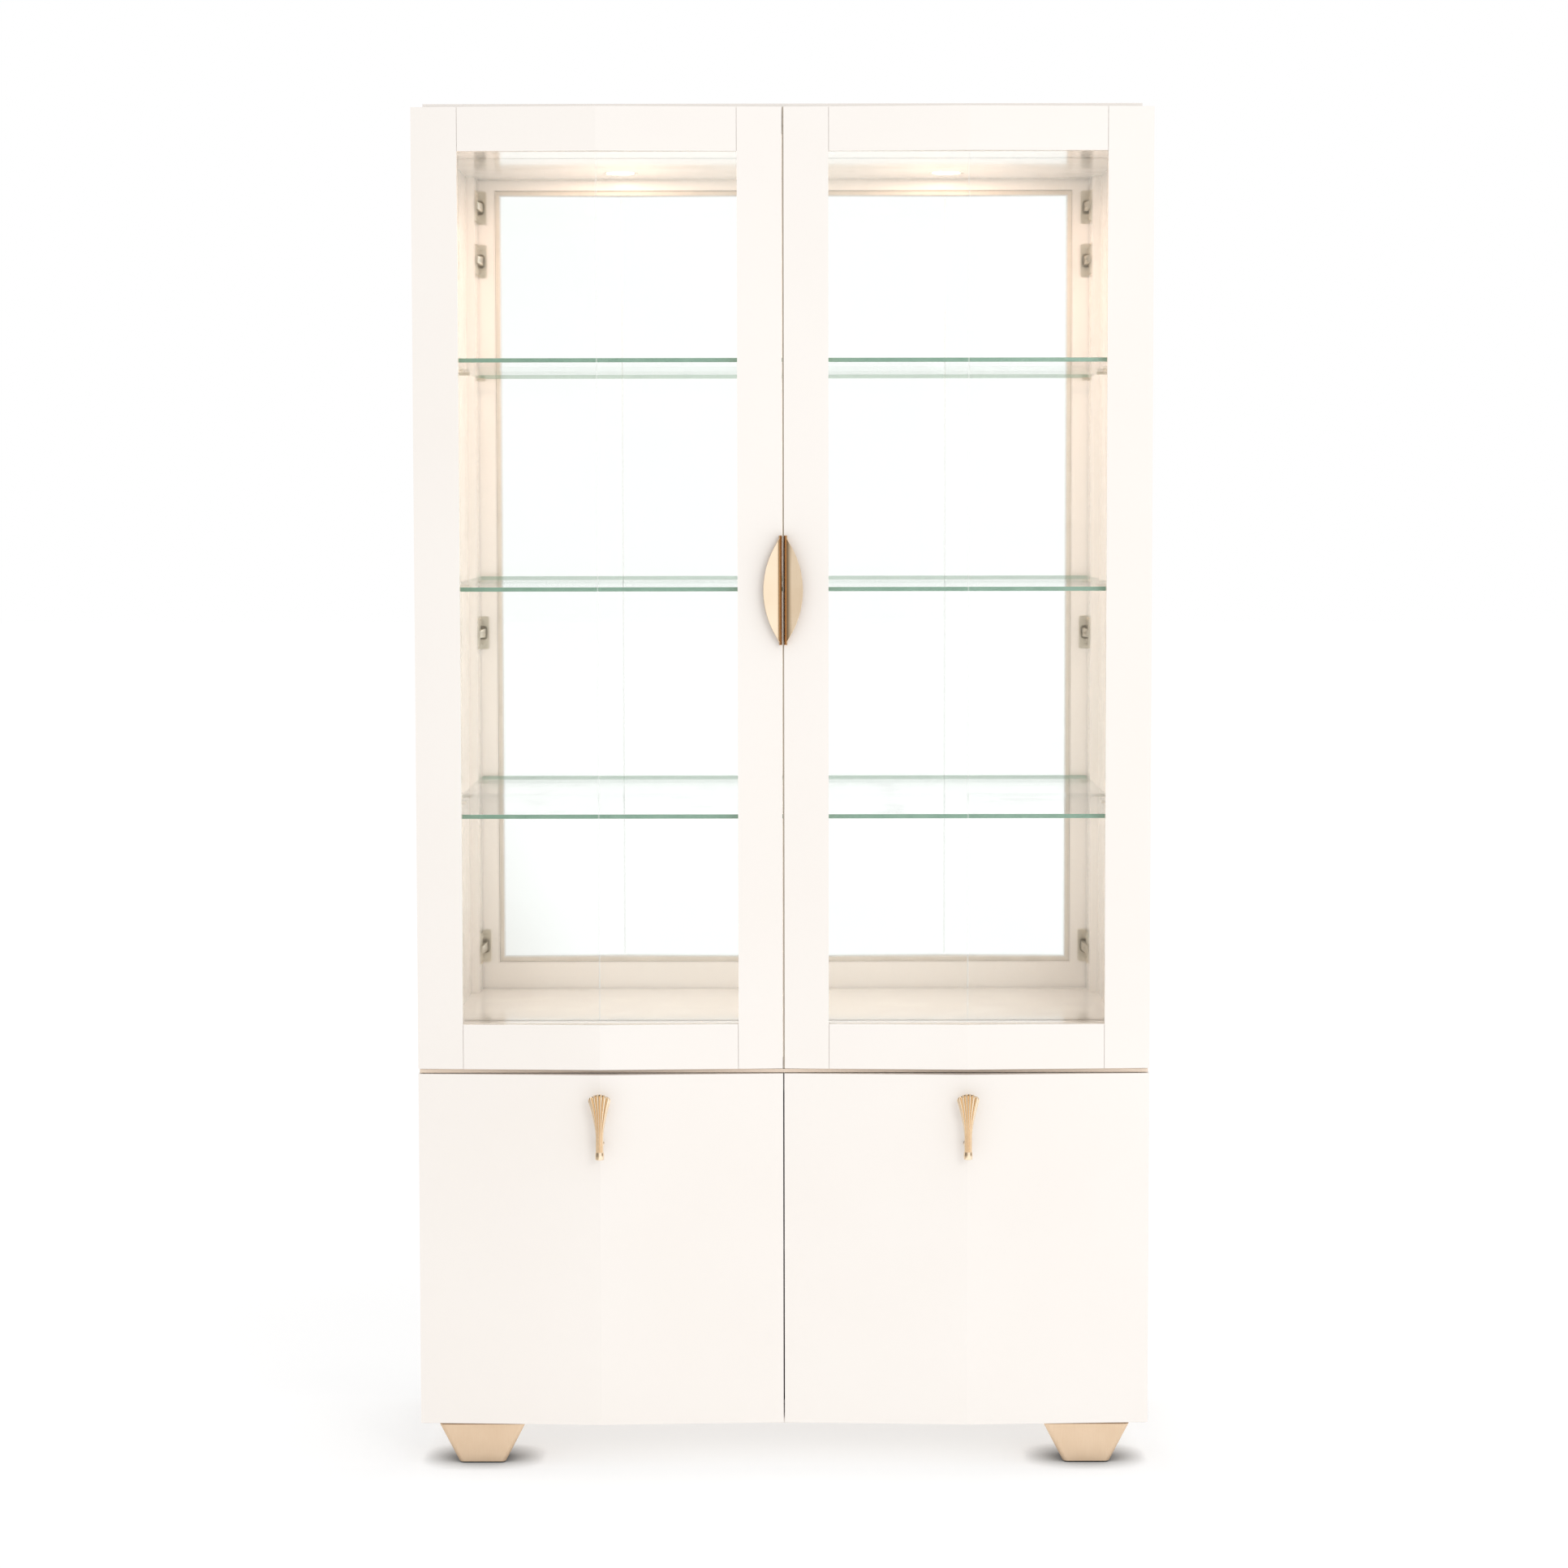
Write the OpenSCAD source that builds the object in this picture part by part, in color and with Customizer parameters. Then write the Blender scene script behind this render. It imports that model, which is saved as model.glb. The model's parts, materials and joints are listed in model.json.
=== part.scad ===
// Tall two-storey curio cabinet: mirrored glass display above, cupboard below.
// Millimetres, +Z up. The front faces -Y and the origin is the middle of the footprint, on the floor.

/* [Overall] */
// Height from the floor to the top of the carcass
cabinet_h = 2083; // [2000:1:2160]
// Width over the side panels and over the closed doors
cabinet_w = 1120; // [1040:2:1200]
// Depth from the doors' flat edges to the back of the side panels
body_d = 458; // [420:1:500]

/* [Panels] */
// Thickness of the side panels
side_t = 16; // [15:1:19]
// Thickness of the top, deck and base panels
board_t = 18; // [16:1:20]
// Thickness of the back panels
back_t = 6; // [4:1:8]
// Thickness of the mirror
mirror_t = 4; // [3:1:5]
// Height of the top of the base panel's front rail
base_rail_top = 96; // [92:1:104]
// Height of the display floor
deck_top = 631; // [620:1:640]
// Height of the rail under the display floor
middle_rail_h = 34; // [28:1:38]
// Height of the underside of the light deck
light_deck_z = 2037; // [2010:1:2040]
// Thickness of the light deck
light_deck_t = 10; // [8:1:12]

/* [Doors] */
// Thickness of a door at its edges
door_t = 22; // [20:1:24]
// How far the vertical ridge stands proud of the door's edges
ridge_h = 16; // [8:1:20]
// Gap between the closed doors' backs and the carcass
door_gap = 3; // [2.8:0.1:4]
// Height of the upper doors' top edge
upper_door_top = 2076; // [2070:1:2080]
// Height of the upper doors' bottom edge
upper_door_bottom = 617; // [615:1:622]
// Height of the cupboard doors' top edge
lower_door_top = 609; // [604:1:611]
// Height of the cupboard doors' bottom edge
lower_door_bottom = 66.5; // [64:0.5:70]
// Gap between the two upper doors
upper_gap = 3; // [2:0.5:5]
// Gap between the two cupboard doors
lower_gap = 2; // [2:0.5:4]
// Width of the upper doors' stiles
stile_w = 69; // [60:1:75]
// Height of the upper doors' rails
rail_h = 66; // [60:1:75]
// Thickness of the door glass
door_glass_t = 4; // [4:0.5:5]

/* [Shelves] */
// Thickness of the glass shelves
glass_shelf_t = 6.4; // [5:0.2:8]
// Thickness of the cupboard shelf
cupboard_shelf_t = 15; // [14:1:18]

/* [Feet] */
// Height of a foot, from its glide to the base panel
foot_h = 60; // [56:1:62]
// Width of a foot at its top
foot_top_w = 132; // [110:1:140]
// Width of a foot at its bottom
foot_bottom_w = 72; // [60:1:90]
// Distance from the middle plane to the middle of a foot
foot_x = 467; // [450:1:474]

/* [Handles] */
// Height of the leaf pull
leaf_h = 166; // [140:1:180]
// Width of one half of the leaf pull
leaf_w = 28.5; // [24:0.5:34]
// How far the fan pull stands out from the ridge
fan_reach = 28; // [24:1:32]

/* [Hinges] */
// Distance from a door's outer edge to its hinge axis
hinge_inboard = 10; // [9:0.5:11]
// Depth of the hinge axis behind the doors' flat edges
hinge_depth = 2; // [1:0.5:4]
// Diameter of a hinge cup
cup_d = 35; // [35:1:35]
// Distance from a door's outer edge to the middle of a hinge cup
cup_edge = 22.5; // [22:0.5:24]

/* [Hidden] */
$fn = 64;

// Widths and depths that everything else hangs on
half_w = cabinet_w / 2;
wall_x = half_w - side_t;
total_d = fan_reach + ridge_h + body_d;
face_y = -total_d / 2 + fan_reach + ridge_h;    // plane of the doors' flat edges
door_back_y = face_y + door_t;
front_y = door_back_y + door_gap;               // front of the carcass
rear_y = face_y + body_d;                       // back of the side panels
back_inset = 2;
back_y = rear_y - back_inset - back_t;
mirror_y = back_y - mirror_t;
base_z = foot_h;
cupboard_floor = base_z + board_t;
middle_rail_z = deck_top - board_t - middle_rail_h;
top_z = cabinet_h - board_t;

// Doors: x is measured from the cabinet's middle plane towards the side
ridge_x = half_w / 2 + 1;
pane_gap = 0.6;
lip_t = 5;               // frame in front of the glass
rebate_w = 8;            // step that holds the glass
glass_play = 0.5;
stop_w = 7;
stop_inset = 6;
opening_top = upper_door_top - rail_h;
opening_bottom = upper_door_bottom + rail_h + 2.5;
outer_opening_x = half_w - stile_w;
inner_opening_x = upper_gap / 2 + stile_w - 1.5;
upper_hinges = [1988.5, 1896.8, 1254.5, 706];
lower_hinge_inset = 95;
lower_hinges = [lower_door_top - lower_hinge_inset, lower_door_bottom + lower_hinge_inset];

// Hinge hardware
cup_x = half_w - cup_edge;
cup_depth = 11.5;
cup_flange = [31, 57, 1.2];
stile_t = 15;            // packing stile behind the side panel's front edge
stile_d = 62;
stile_x = wall_x - stile_t;
plate_t = 3;
arm_clear = 2;           // from the arm's nose to the closed door's back

// Shelves
shelf_tops = [1701, 1353, 1005];
shelf_half_w = stile_x - 2;
shelf_front_y = front_y + 6;
shelf_back_y = mirror_y - 2;
cupboard_shelf_z = 328;
pin_d = 5;
pin_reach = 12;
front_pin_y = front_y + 32;
rear_pin_y = mirror_y - 66;

// Lights
puck_x = 276;
puck_y = face_y + 150;
puck_d = 57;
puck_play = 0.5;
lens_d = 48;
lens_t = 2;

// Handles
leaf_z = 1349;
leaf_edge = 0;           // from an upper door's inner edge to the leaf's seam side
leaf_wall = 2.5;
leaf_stand = 6;          // straight wall between the door and the bend
leaf_bend_r = 11;
leaf_rise = 6;           // slope of the wing, away from the door
fan_z = 482;             // bottom of the fan pull
fan_tip_z = 584;
fan_angle = 4.1;         // between neighbouring reeds
fan_root_r = 2.4;        // reed radius at the stem
fan_tip_r = 4;           // reed radius at the tip
cap_size = [13, 12, 12];
screw_d = 4;
screw_play = 0.3;

// Front face of a door at distance x from the middle plane, for a door from x0 to x1
function face_at(x, x0, x1) =
    face_y - ridge_h * (x < ridge_x ? (x - x0) / (ridge_x - x0) : (x1 - x) / (x1 - ridge_x));
function upper_face(x) = face_at(x, upper_gap / 2, half_w);
function lower_face(x) = face_at(x, lower_gap / 2, half_w);

// side is -1 for the left half and 1 for the right half
module half(side) {
    if (side > 0) children();
    else mirror([1, 0, 0]) children();
}

module board(x0, x1, y0, y1, z0, z1) {
    translate([x0, y0, z0]) cube([x1 - x0, y1 - y0, z1 - z0]);
}

// Upright prism over a plan outline
module prism(points, z0, z1) {
    translate([0, 0, z0]) linear_extrude(z1 - z0) polygon(points);
}

// Cylinder along Y, from y0 to y1
module rod_y(d, x, z, y0, y1) {
    translate([x, y0, z]) rotate([-90, 0, 0]) cylinder(d = d, h = y1 - y0);
}

// ---------- Carcass ----------

module side_panel(side) {
    color("oldlace") half(side)
        board(wall_x, half_w, front_y, rear_y, base_z, upper_door_top);
}

module cross_board(z0, z1, y0, y1) {
    color("oldlace") board(-wall_x, wall_x, y0, y1, z0, z1);
}

module top_panel() { cross_board(top_z, cabinet_h, front_y, rear_y); }

module middle_deck() { cross_board(deck_top - board_t, deck_top, front_y, back_y); }

module base_panel() { cross_board(base_z, cupboard_floor, front_y, rear_y); }

module front_rail(z0, z1) { cross_board(z0, z1, front_y, front_y + board_t); }

// Rail under the display floor, with a nosing that fills the gap between the two storeys of doors
module middle_rail() {
    nosing_play = 1.5;
    low_play = 0.8;
    nosing_reach = door_t + door_gap - 7;
    front_rail(middle_rail_z, deck_top - board_t);
    color("oldlace") board(
        -half_w + nosing_play, half_w - nosing_play, front_y - nosing_reach, front_y,
        lower_door_top + low_play, upper_door_bottom - nosing_play);
}

module light_deck() {
    color("oldlace") difference() {
        board(-wall_x, wall_x, front_y, mirror_y - 1, light_deck_z, light_deck_z + light_deck_t);
        for (x = [-puck_x, puck_x])
            translate([x, puck_y, light_deck_z - 1])
                cylinder(d = puck_d + 2 * puck_play, h = light_deck_t + 2);
    }
}

// The cupboard's back has the cable grommet's hole; the display's back is whole behind the mirror
grommet_d = 40;
grommet_x = 440;
grommet_z = 520;
grommet_bore_d = 32;

module upper_back_panel() { cross_board(deck_top - board_t, top_z, back_y, back_y + back_t); }

module lower_back_panel() {
    color("oldlace") difference() {
        board(-wall_x, wall_x, back_y, back_y + back_t, cupboard_floor, deck_top - board_t);
        rod_y(grommet_d, grommet_x, grommet_z, back_y - 1, back_y + back_t + 1);
    }
}

module mirror_sheet() {
    edge_play = 0.5;
    color("lightsteelblue")
        board(-wall_x + edge_play, wall_x - edge_play, mirror_y, back_y, deck_top + edge_play, top_z - edge_play);
}

module hinge_stile(side, z0, z1) {
    color("oldlace") half(side)
        board(stile_x, wall_x, front_y, front_y + stile_d, z0, z1);
}

module cupboard_hinge_stiles() {
    for (side = [-1, 1]) {
        hinge_stile(side, base_rail_top, middle_rail_z);
    }
}

module glass_shelf(top) {
    color("palegreen", 0.5)
        board(-shelf_half_w, shelf_half_w, shelf_front_y, shelf_back_y, top - glass_shelf_t, top);
}

// Round pins under the four corners of a shelf whose underside is at height z
module pins_under(z) {
    for (side = [-1, 1]) half(side) {
        tip_x = shelf_half_w - pin_reach;
        translate([tip_x, front_pin_y, z - pin_d / 2]) rotate([0, 90, 0])
            cylinder(d = pin_d, h = stile_x - tip_x);
        translate([tip_x, rear_pin_y, z - pin_d / 2]) rotate([0, 90, 0])
            cylinder(d = pin_d, h = wall_x - tip_x);
    }
}

module shelf_pins() {
    color("silver") for (z = concat(cupboard_shelf_z, shelf_tops - glass_shelf_t * [1, 1, 1])) pins_under(z);
}

module cupboard_shelf() {
    color("oldlace")
        board(-shelf_half_w, shelf_half_w, front_y + 12, shelf_back_y,
              cupboard_shelf_z, cupboard_shelf_z + cupboard_shelf_t);
}

// ---------- Feet ----------

foot_top_d = 92;
foot_bottom_d = 62;
foot_corner_r = 8;
foot_plate_t = 0.1;
foot_front_y = front_y - 10;    // upright face of the front feet, under the doors
foot_rear_y = rear_y - 4;       // upright face of the rear feet
glide_d = 40;
glide_t = 2;

// Thin plate with rounded corners, w wide and d deep, that starts at y0 and z0
module foot_plate(w, d, y0, z0) {
    for (x = [foot_corner_r - w / 2, w / 2 - foot_corner_r], y = [y0 + foot_corner_r, y0 + d - foot_corner_r])
        translate([foot_x + x, y, z0]) cylinder(r = foot_corner_r, h = foot_plate_t);
}

// Inverted frustum, upright at its outer face; end is -1 for a front foot and 1 for a rear foot
module foot(side, end) {
    top_y = end < 0 ? foot_front_y : foot_rear_y - foot_top_d;
    bottom_y = end < 0 ? foot_front_y : foot_rear_y - foot_bottom_d;
    color("tan") half(side) hull() {
        foot_plate(foot_top_w, foot_top_d, top_y, base_z - foot_plate_t);
        foot_plate(foot_bottom_w, foot_bottom_d, bottom_y, glide_t);
    }
}

module foot_glides() {
    color("dimgray")
        for (x = [-foot_x, foot_x], y = [foot_front_y + foot_bottom_d / 2, foot_rear_y - foot_bottom_d / 2])
            translate([x, y, 0]) cylinder(d = glide_d, h = glide_t);
}

// ---------- Lights ----------

module puck_light_bodies() {
    body_h = 14;
    color("silver")
        for (x = [-puck_x, puck_x])
            translate([x, puck_y, light_deck_z]) difference() {
                cylinder(d = puck_d, h = body_h);
                translate([0, 0, -1]) cylinder(d = lens_d, h = lens_t + 1);
            }
}

module puck_light_lenses() {
    color("khaki")
        for (x = [-puck_x, puck_x])
            translate([x, puck_y, light_deck_z]) cylinder(d = lens_d, h = lens_t);
}

// Flat power supply lying on the light deck
module light_driver() {
    size = [120, 46, 16];
    setback = 90;
    color("white")
        translate([-size[0] / 2, front_y + setback, light_deck_z + light_deck_t]) cube(size);
}

module cable_grommet() {
    flange_d = 48;
    flange_t = 2;
    inner_t = 4;
    color("dimgray") difference() {
        union() {
            rod_y(grommet_d, grommet_x, grommet_z, back_y - inner_t, back_y + back_t);
            rod_y(flange_d, grommet_x, grommet_z, back_y + back_t, back_y + back_t + flange_t);
        }
        rod_y(grommet_bore_d, grommet_x, grommet_z, back_y - inner_t - 1, rear_y + 1);
    }
}

// ---------- Concealed hinges ----------

// Plate screwed to the packing stile, one for each hinge
module hinge_plates() {
    plate = [plate_t, 18, 54];
    color("silver") for (side = [-1, 1]) half(side)
        for (z = concat(upper_hinges, lower_hinges))
            translate([stile_x - plate_t, front_y + 28, z - plate[2] / 2]) cube(plate);
}

// Arm clipped on the plate; its nose stops just behind the closed door
module hinge_arms() {
    arm_w = 7;
    arm_h = 16;
    tail_w = 5;
    heel_w = 1.5;
    seat_x = stile_x - plate_t;
    nose_y = door_back_y + arm_clear;
    heel_y = front_y + 26;
    tail_y = front_y + 58;
    color("silver") for (side = [-1, 1]) half(side)
        for (z = concat(upper_hinges, lower_hinges))
            translate([0, 0, z - arm_h / 2]) linear_extrude(arm_h) polygon([
                [seat_x, heel_y],
                [seat_x, tail_y],
                [seat_x - tail_w, tail_y],
                [seat_x - arm_w, heel_y],
                [seat_x - arm_w, nose_y],
                [seat_x - heel_w, nose_y],
                [seat_x - heel_w, heel_y - heel_w]
            ]);
}

// Cups pressed into the door's back, each with its screw flange, for one door
module hinge_cups(side, heights) {
    color("silver") half(side) for (z = heights) {
        difference() {
            rod_y(cup_d, cup_x, z, door_back_y - cup_depth, door_back_y);
            rod_y(cup_d - 3, cup_x, z, door_back_y - cup_depth + 1.5, door_back_y + 1);
        }
        difference() {
            translate([cup_x - cup_flange[0] + 7, door_back_y, z - cup_flange[1] / 2])
                cube([cup_flange[0], cup_flange[2], cup_flange[1]]);
            rod_y(cup_d - 3, cup_x, z, door_back_y - 1, door_back_y + cup_flange[2] + 1);
        }
    }
}

// Soft pads on the front rails and the deck, where the doors' free corners land
module door_bumpers() {
    pad_d = 9;
    pad_t = door_gap - 0.4;
    pad_x = 34;
    edge = 9;                // from a board's or rail's edge to the middle of a pad
    color("gainsboro")
        for (x = [-pad_x, pad_x], z = [top_z - edge, deck_top - edge, middle_rail_z + edge, base_z + 2 * edge])
            rod_y(pad_d, x, z, front_y - pad_t, front_y);
}

module back_panel_screws() {
    head_d = 8;
    head_t = 1.6;
    edge = 12;               // from a panel's edge to the middle of a screw
    low_z = cupboard_floor + edge;
    deck_z = deck_top - board_t / 2;
    high_z = top_z - edge;
    low_row = (deck_z - low_z) / 2;
    high_row = (high_z - deck_z) / 4;
    color("silver")
        for (x = [-wall_x + edge, -wall_x / 3, wall_x / 3, wall_x - edge],
             z = [low_z, low_z + low_row, deck_z, for (i = [1 : 4]) deck_z + i * high_row])
            rod_y(head_d, x, z, back_y + back_t, back_y + back_t + head_t);
}

// ---------- Upper doors ----------

// Plan outline of an upper door between x0 and x1, from front offset f to the flat back at back
function door_outline(x0, x1, f, back) = concat(
    [[x0, back], [x0, upper_face(x0) + f]],
    x0 < ridge_x && x1 > ridge_x ? [[ridge_x, upper_face(ridge_x) + f]] : [],
    [[x1, upper_face(x1) + f], [x1, back]]);

// Plan outline of a sheet that follows the door's front, between offsets f0 and f1
function sheet_outline(x0, x1, f0, f1) =
    [[x0, upper_face(x0) + f0], [x1, upper_face(x1) + f0], [x1, upper_face(x1) + f1], [x0, upper_face(x0) + f1]];

glass_f = lip_t + 0.2;
stop_back_y = door_back_y - stop_inset;

module upper_outer_stile(side) {
    color("oldlace") half(side) difference() {
        prism(door_outline(outer_opening_x, half_w, 0, door_back_y), upper_door_bottom, upper_door_top);
        prism(door_outline(outer_opening_x - 1, outer_opening_x + rebate_w, lip_t, door_back_y + 1),
              opening_bottom - rebate_w, opening_top + rebate_w);
        for (z = upper_hinges)
            rod_y(cup_d, cup_x, z, door_back_y - cup_depth, door_back_y + 1);
    }
}

leaf_screw_pitch = 80;
leaf_screws = [leaf_z - leaf_screw_pitch / 2, leaf_z + leaf_screw_pitch / 2];
leaf_screw_x = upper_gap / 2 + 11;

module upper_inner_stile(side) {
    color("oldlace") half(side) difference() {
        prism(door_outline(upper_gap / 2, inner_opening_x, 0, door_back_y), upper_door_bottom, upper_door_top);
        prism(door_outline(inner_opening_x - rebate_w, inner_opening_x + 1, lip_t, door_back_y + 1),
              opening_bottom - rebate_w, opening_top + rebate_w);
        for (z = leaf_screws)
            rod_y(screw_d + 2 * screw_play, leaf_screw_x, z, face_y - ridge_h, door_back_y + 1);
    }
}

joint_w = 0.9;           // shadow line where a rail meets a stile
joint_depth = 1.8;

// Rail with a thin lip on the side of the glass: z0 to z1 is the whole rail, solid0 to solid1 its thick part
module upper_rail(side, z0, z1, solid0, solid1) {
    color("oldlace") half(side) difference() {
        prism(door_outline(inner_opening_x, outer_opening_x, 0, door_back_y), z0, z1);
        for (x = [inner_opening_x - joint_w, outer_opening_x - joint_w])
            prism(door_outline(x, x + 2 * joint_w, -1, upper_face(x + joint_w) + joint_depth), z0 - 1, z1 + 1);
        if (solid0 > z0)
            prism(door_outline(inner_opening_x - 1, outer_opening_x + 1, lip_t, door_back_y + 1), z0 - 1, solid0);
        if (solid1 < z1)
            prism(door_outline(inner_opening_x - 1, outer_opening_x + 1, lip_t, door_back_y + 1), solid1, z1 + 1);
    }
}

module upper_top_rail(side) {
    upper_rail(side, opening_top, upper_door_top, opening_top + rebate_w, upper_door_top);
}

module upper_bottom_rail(side) {
    upper_rail(side, upper_door_bottom, opening_bottom, upper_door_bottom, opening_bottom - rebate_w);
}

// Two flat panes that meet along the ridge
module upper_glass(side) {
    z0 = opening_bottom - rebate_w + glass_play;
    z1 = opening_top + rebate_w - glass_play;
    x0 = inner_opening_x - rebate_w + glass_play;
    x1 = outer_opening_x + rebate_w - glass_play;
    color("palegreen", 0.3) half(side) {
        prism(sheet_outline(x0, ridge_x - pane_gap / 2, glass_f, glass_f + door_glass_t), z0, z1);
        prism(sheet_outline(ridge_x + pane_gap / 2, x1, glass_f, glass_f + door_glass_t), z0, z1);
    }
}

// Four strips behind the glass
module upper_glass_stops(side) {
    f = glass_f + door_glass_t + 0.2;
    x0 = inner_opening_x - rebate_w + glass_play;
    x1 = outer_opening_x + rebate_w - glass_play;
    z0 = opening_bottom - rebate_w + glass_play;
    z1 = opening_top + rebate_w - glass_play;
    color("oldlace") half(side) {
        prism(door_outline(x0, x0 + stop_w, f, stop_back_y), z0, z1);
        prism(door_outline(x1 - stop_w, x1, f, stop_back_y), z0, z1);
        prism(door_outline(x0 + stop_w, x1 - stop_w, f, stop_back_y), z0, z0 + stop_w);
        prism(door_outline(x0 + stop_w, x1 - stop_w, f, stop_back_y), z1 - stop_w, z1);
    }
}

// Quarter bend that starts square to the door and ends at the wing's slope
function leaf_bend(r, cx, cy) =
    [for (i = [0 : 8]) let (a = i * (90 - leaf_rise) / 8) [cx - r * cos(a), cy - r * sin(a)]];

// Plan outline of half a leaf: a wall beside the seam, a round bend and a nearly flat wing
module leaf_profile() {
    seam_x = upper_gap / 2 + leaf_edge;
    outer = leaf_bend(leaf_bend_r, seam_x + leaf_bend_r, face_y - leaf_stand);
    inner = leaf_bend(leaf_bend_r - leaf_wall, seam_x + leaf_bend_r, face_y - leaf_stand);
    wing = (upper_gap / 2 + leaf_w - outer[8].x) * [1, -tan(leaf_rise)];
    polygon(concat(
        [[seam_x, face_y - 0.2]],
        outer,
        [outer[8] + wing, inner[8] + wing],
        [for (i = [8 : -1 : 0]) inner[i]],
        [[seam_x + leaf_wall, face_y - 0.2]]));
}

module leaf_pull(side) {
    leaf_r = (leaf_h * leaf_h / 4 + leaf_w * leaf_w) / (2 * leaf_w);
    post_end = face_y - leaf_stand - leaf_bend_r + leaf_wall / 2;
    blind_wall = 3;
    tab_x = upper_gap / 2 + leaf_edge + 3.4;
    color("tan") half(side) {
        intersection() {
            translate([0, 0, leaf_z - leaf_h / 2]) linear_extrude(leaf_h) leaf_profile();
            union() {
                rod_y(2 * leaf_r, leaf_w - leaf_r + upper_gap / 2, leaf_z, face_y - 2 * leaf_w, face_y);
                board(0, tab_x, face_y - 2 * leaf_w, face_y, leaf_z - leaf_h / 2, leaf_z + leaf_h / 2);
            }
        }
        for (z = leaf_screws) difference() {
            rod_y(8, leaf_screw_x, z, post_end, face_y - 1);
            rod_y(screw_d, leaf_screw_x, z, post_end + blind_wall, face_y);
        }
    }
}

module pull_screws(side, x, heights, tip_y) {
    head_d = 8;
    head_t = 2;
    color("silver") half(side) for (z = heights) {
        rod_y(screw_d, x, z, tip_y, door_back_y);
        rod_y(head_d, x, z, door_back_y, door_back_y + head_t);
    }
}

// Soft lip on the right door's inner edge that closes the gap between the upper doors
module upper_door_seal() {
    play = 0.6;
    setback = 4;
    depth = 14;
    color("tan")
        board(play - upper_gap / 2, upper_gap / 2, face_y + setback, face_y + setback + depth,
              upper_door_bottom, upper_door_top);
}

module leaf_screws_of(side) { pull_screws(side, leaf_screw_x, leaf_screws, face_y - 10); }

// ---------- Cupboard doors ----------

fan_screw_rise = 22;
fan_screw_pitch = 44;
fan_screws = [fan_z + fan_screw_rise, fan_z + fan_screw_rise + fan_screw_pitch];

module lower_door(side) {
    x0 = lower_gap / 2;
    color("oldlace") half(side) difference() {
        prism([[x0, door_back_y], [x0, face_y], [ridge_x, face_y - ridge_h], [half_w, face_y],
               [half_w, door_back_y]], lower_door_bottom, lower_door_top);
        for (z = lower_hinges)
            rod_y(cup_d, cup_x, z, door_back_y - cup_depth, door_back_y + 1);
        for (z = fan_screws)
            rod_y(screw_d + 2 * screw_play, ridge_x, z, face_y - ridge_h - 1, door_back_y + 1);
    }
}

// Fan of six tapering reeds on a plain stem with a square cap, held off the ridge by two posts
module fan_pull(side) {
    reeds = 6;
    droop = 1.2;             // how much shorter the outer reeds are
    post_d = 9;
    screw_bore = 14;
    front = face_y - ridge_h - fan_reach;
    axis_y = front + fan_tip_r;
    stem_top = fan_z + 40;
    centre_len = fan_tip_z - fan_tip_r - stem_top;
    spread = (cap_size[0] - 2 * fan_root_r) / (reeds - 1);
    color("tan") half(side) difference() {
        union() {
            translate([ridge_x - cap_size[0] / 2, front, fan_z]) cube(cap_size);
            translate([ridge_x - cap_size[0] / 2, front + 1, fan_z + cap_size[2]])
                cube([cap_size[0], cap_size[1] - 2, stem_top - fan_z - cap_size[2]]);
            for (i = [0 : reeds - 1]) {
                k = i - (reeds - 1) / 2;
                len = centre_len - droop * k * k;
                translate([ridge_x + k * spread, axis_y, stem_top])
                    rotate([0, k * fan_angle, 0]) {
                        cylinder(r1 = fan_root_r, r2 = fan_tip_r, h = len);
                        translate([0, 0, len]) sphere(r = fan_tip_r);
                    }
            }
            for (z = fan_screws) rod_y(post_d, ridge_x, z, axis_y, face_y - ridge_h);
        }
        for (z = fan_screws) rod_y(screw_d, ridge_x, z, face_y - ridge_h - screw_bore, face_y);
    }
}

module fan_screws_of(side) { pull_screws(side, ridge_x, fan_screws, face_y - ridge_h - 12); }

// ---------- Nodes ----------

side_panel(-1);  // left_side_panel
side_panel(1);  // right_side_panel
top_panel();
middle_deck();
base_panel();
front_rail(light_deck_z + light_deck_t, top_z);  // top_rail
middle_rail();
front_rail(cupboard_floor, base_rail_top);  // base_rail
light_deck();
upper_back_panel();
lower_back_panel();
mirror_sheet();  // mirror
glass_shelf(shelf_tops[0]);  // upper_glass_shelf
glass_shelf(shelf_tops[1]);  // middle_glass_shelf
glass_shelf(shelf_tops[2]);  // lower_glass_shelf
cupboard_shelf();
shelf_pins();
hinge_stile(-1, deck_top, light_deck_z);  // left_hinge_stile
hinge_stile(1, deck_top, light_deck_z);  // right_hinge_stile
cupboard_hinge_stiles();
foot(-1, -1);  // front_left_foot
foot(1, -1);  // front_right_foot
foot(-1, 1);  // rear_left_foot
foot(1, 1);  // rear_right_foot
foot_glides();
puck_light_bodies();
puck_light_lenses();
light_driver();
cable_grommet();
hinge_plates();
hinge_arms();
door_bumpers();
back_panel_screws();
upper_outer_stile(-1);  // left_upper_outer_stile
upper_inner_stile(-1);  // left_upper_inner_stile
upper_top_rail(-1);  // left_upper_top_rail
upper_bottom_rail(-1);  // left_upper_bottom_rail
upper_glass(-1);  // left_upper_glass
upper_glass_stops(-1);  // left_upper_glass_stops
hinge_cups(-1, upper_hinges);  // left_upper_hinge_cups
leaf_pull(-1);  // left_leaf_pull
leaf_screws_of(-1);  // left_leaf_screws
upper_outer_stile(1);  // right_upper_outer_stile
upper_inner_stile(1);  // right_upper_inner_stile
upper_top_rail(1);  // right_upper_top_rail
upper_bottom_rail(1);  // right_upper_bottom_rail
upper_glass(1);  // right_upper_glass
upper_glass_stops(1);  // right_upper_glass_stops
hinge_cups(1, upper_hinges);  // right_upper_hinge_cups
leaf_pull(1);  // right_leaf_pull
leaf_screws_of(1);  // right_leaf_screws
upper_door_seal();
lower_door(-1);  // left_lower_door
fan_pull(-1);  // left_fan_pull
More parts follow.
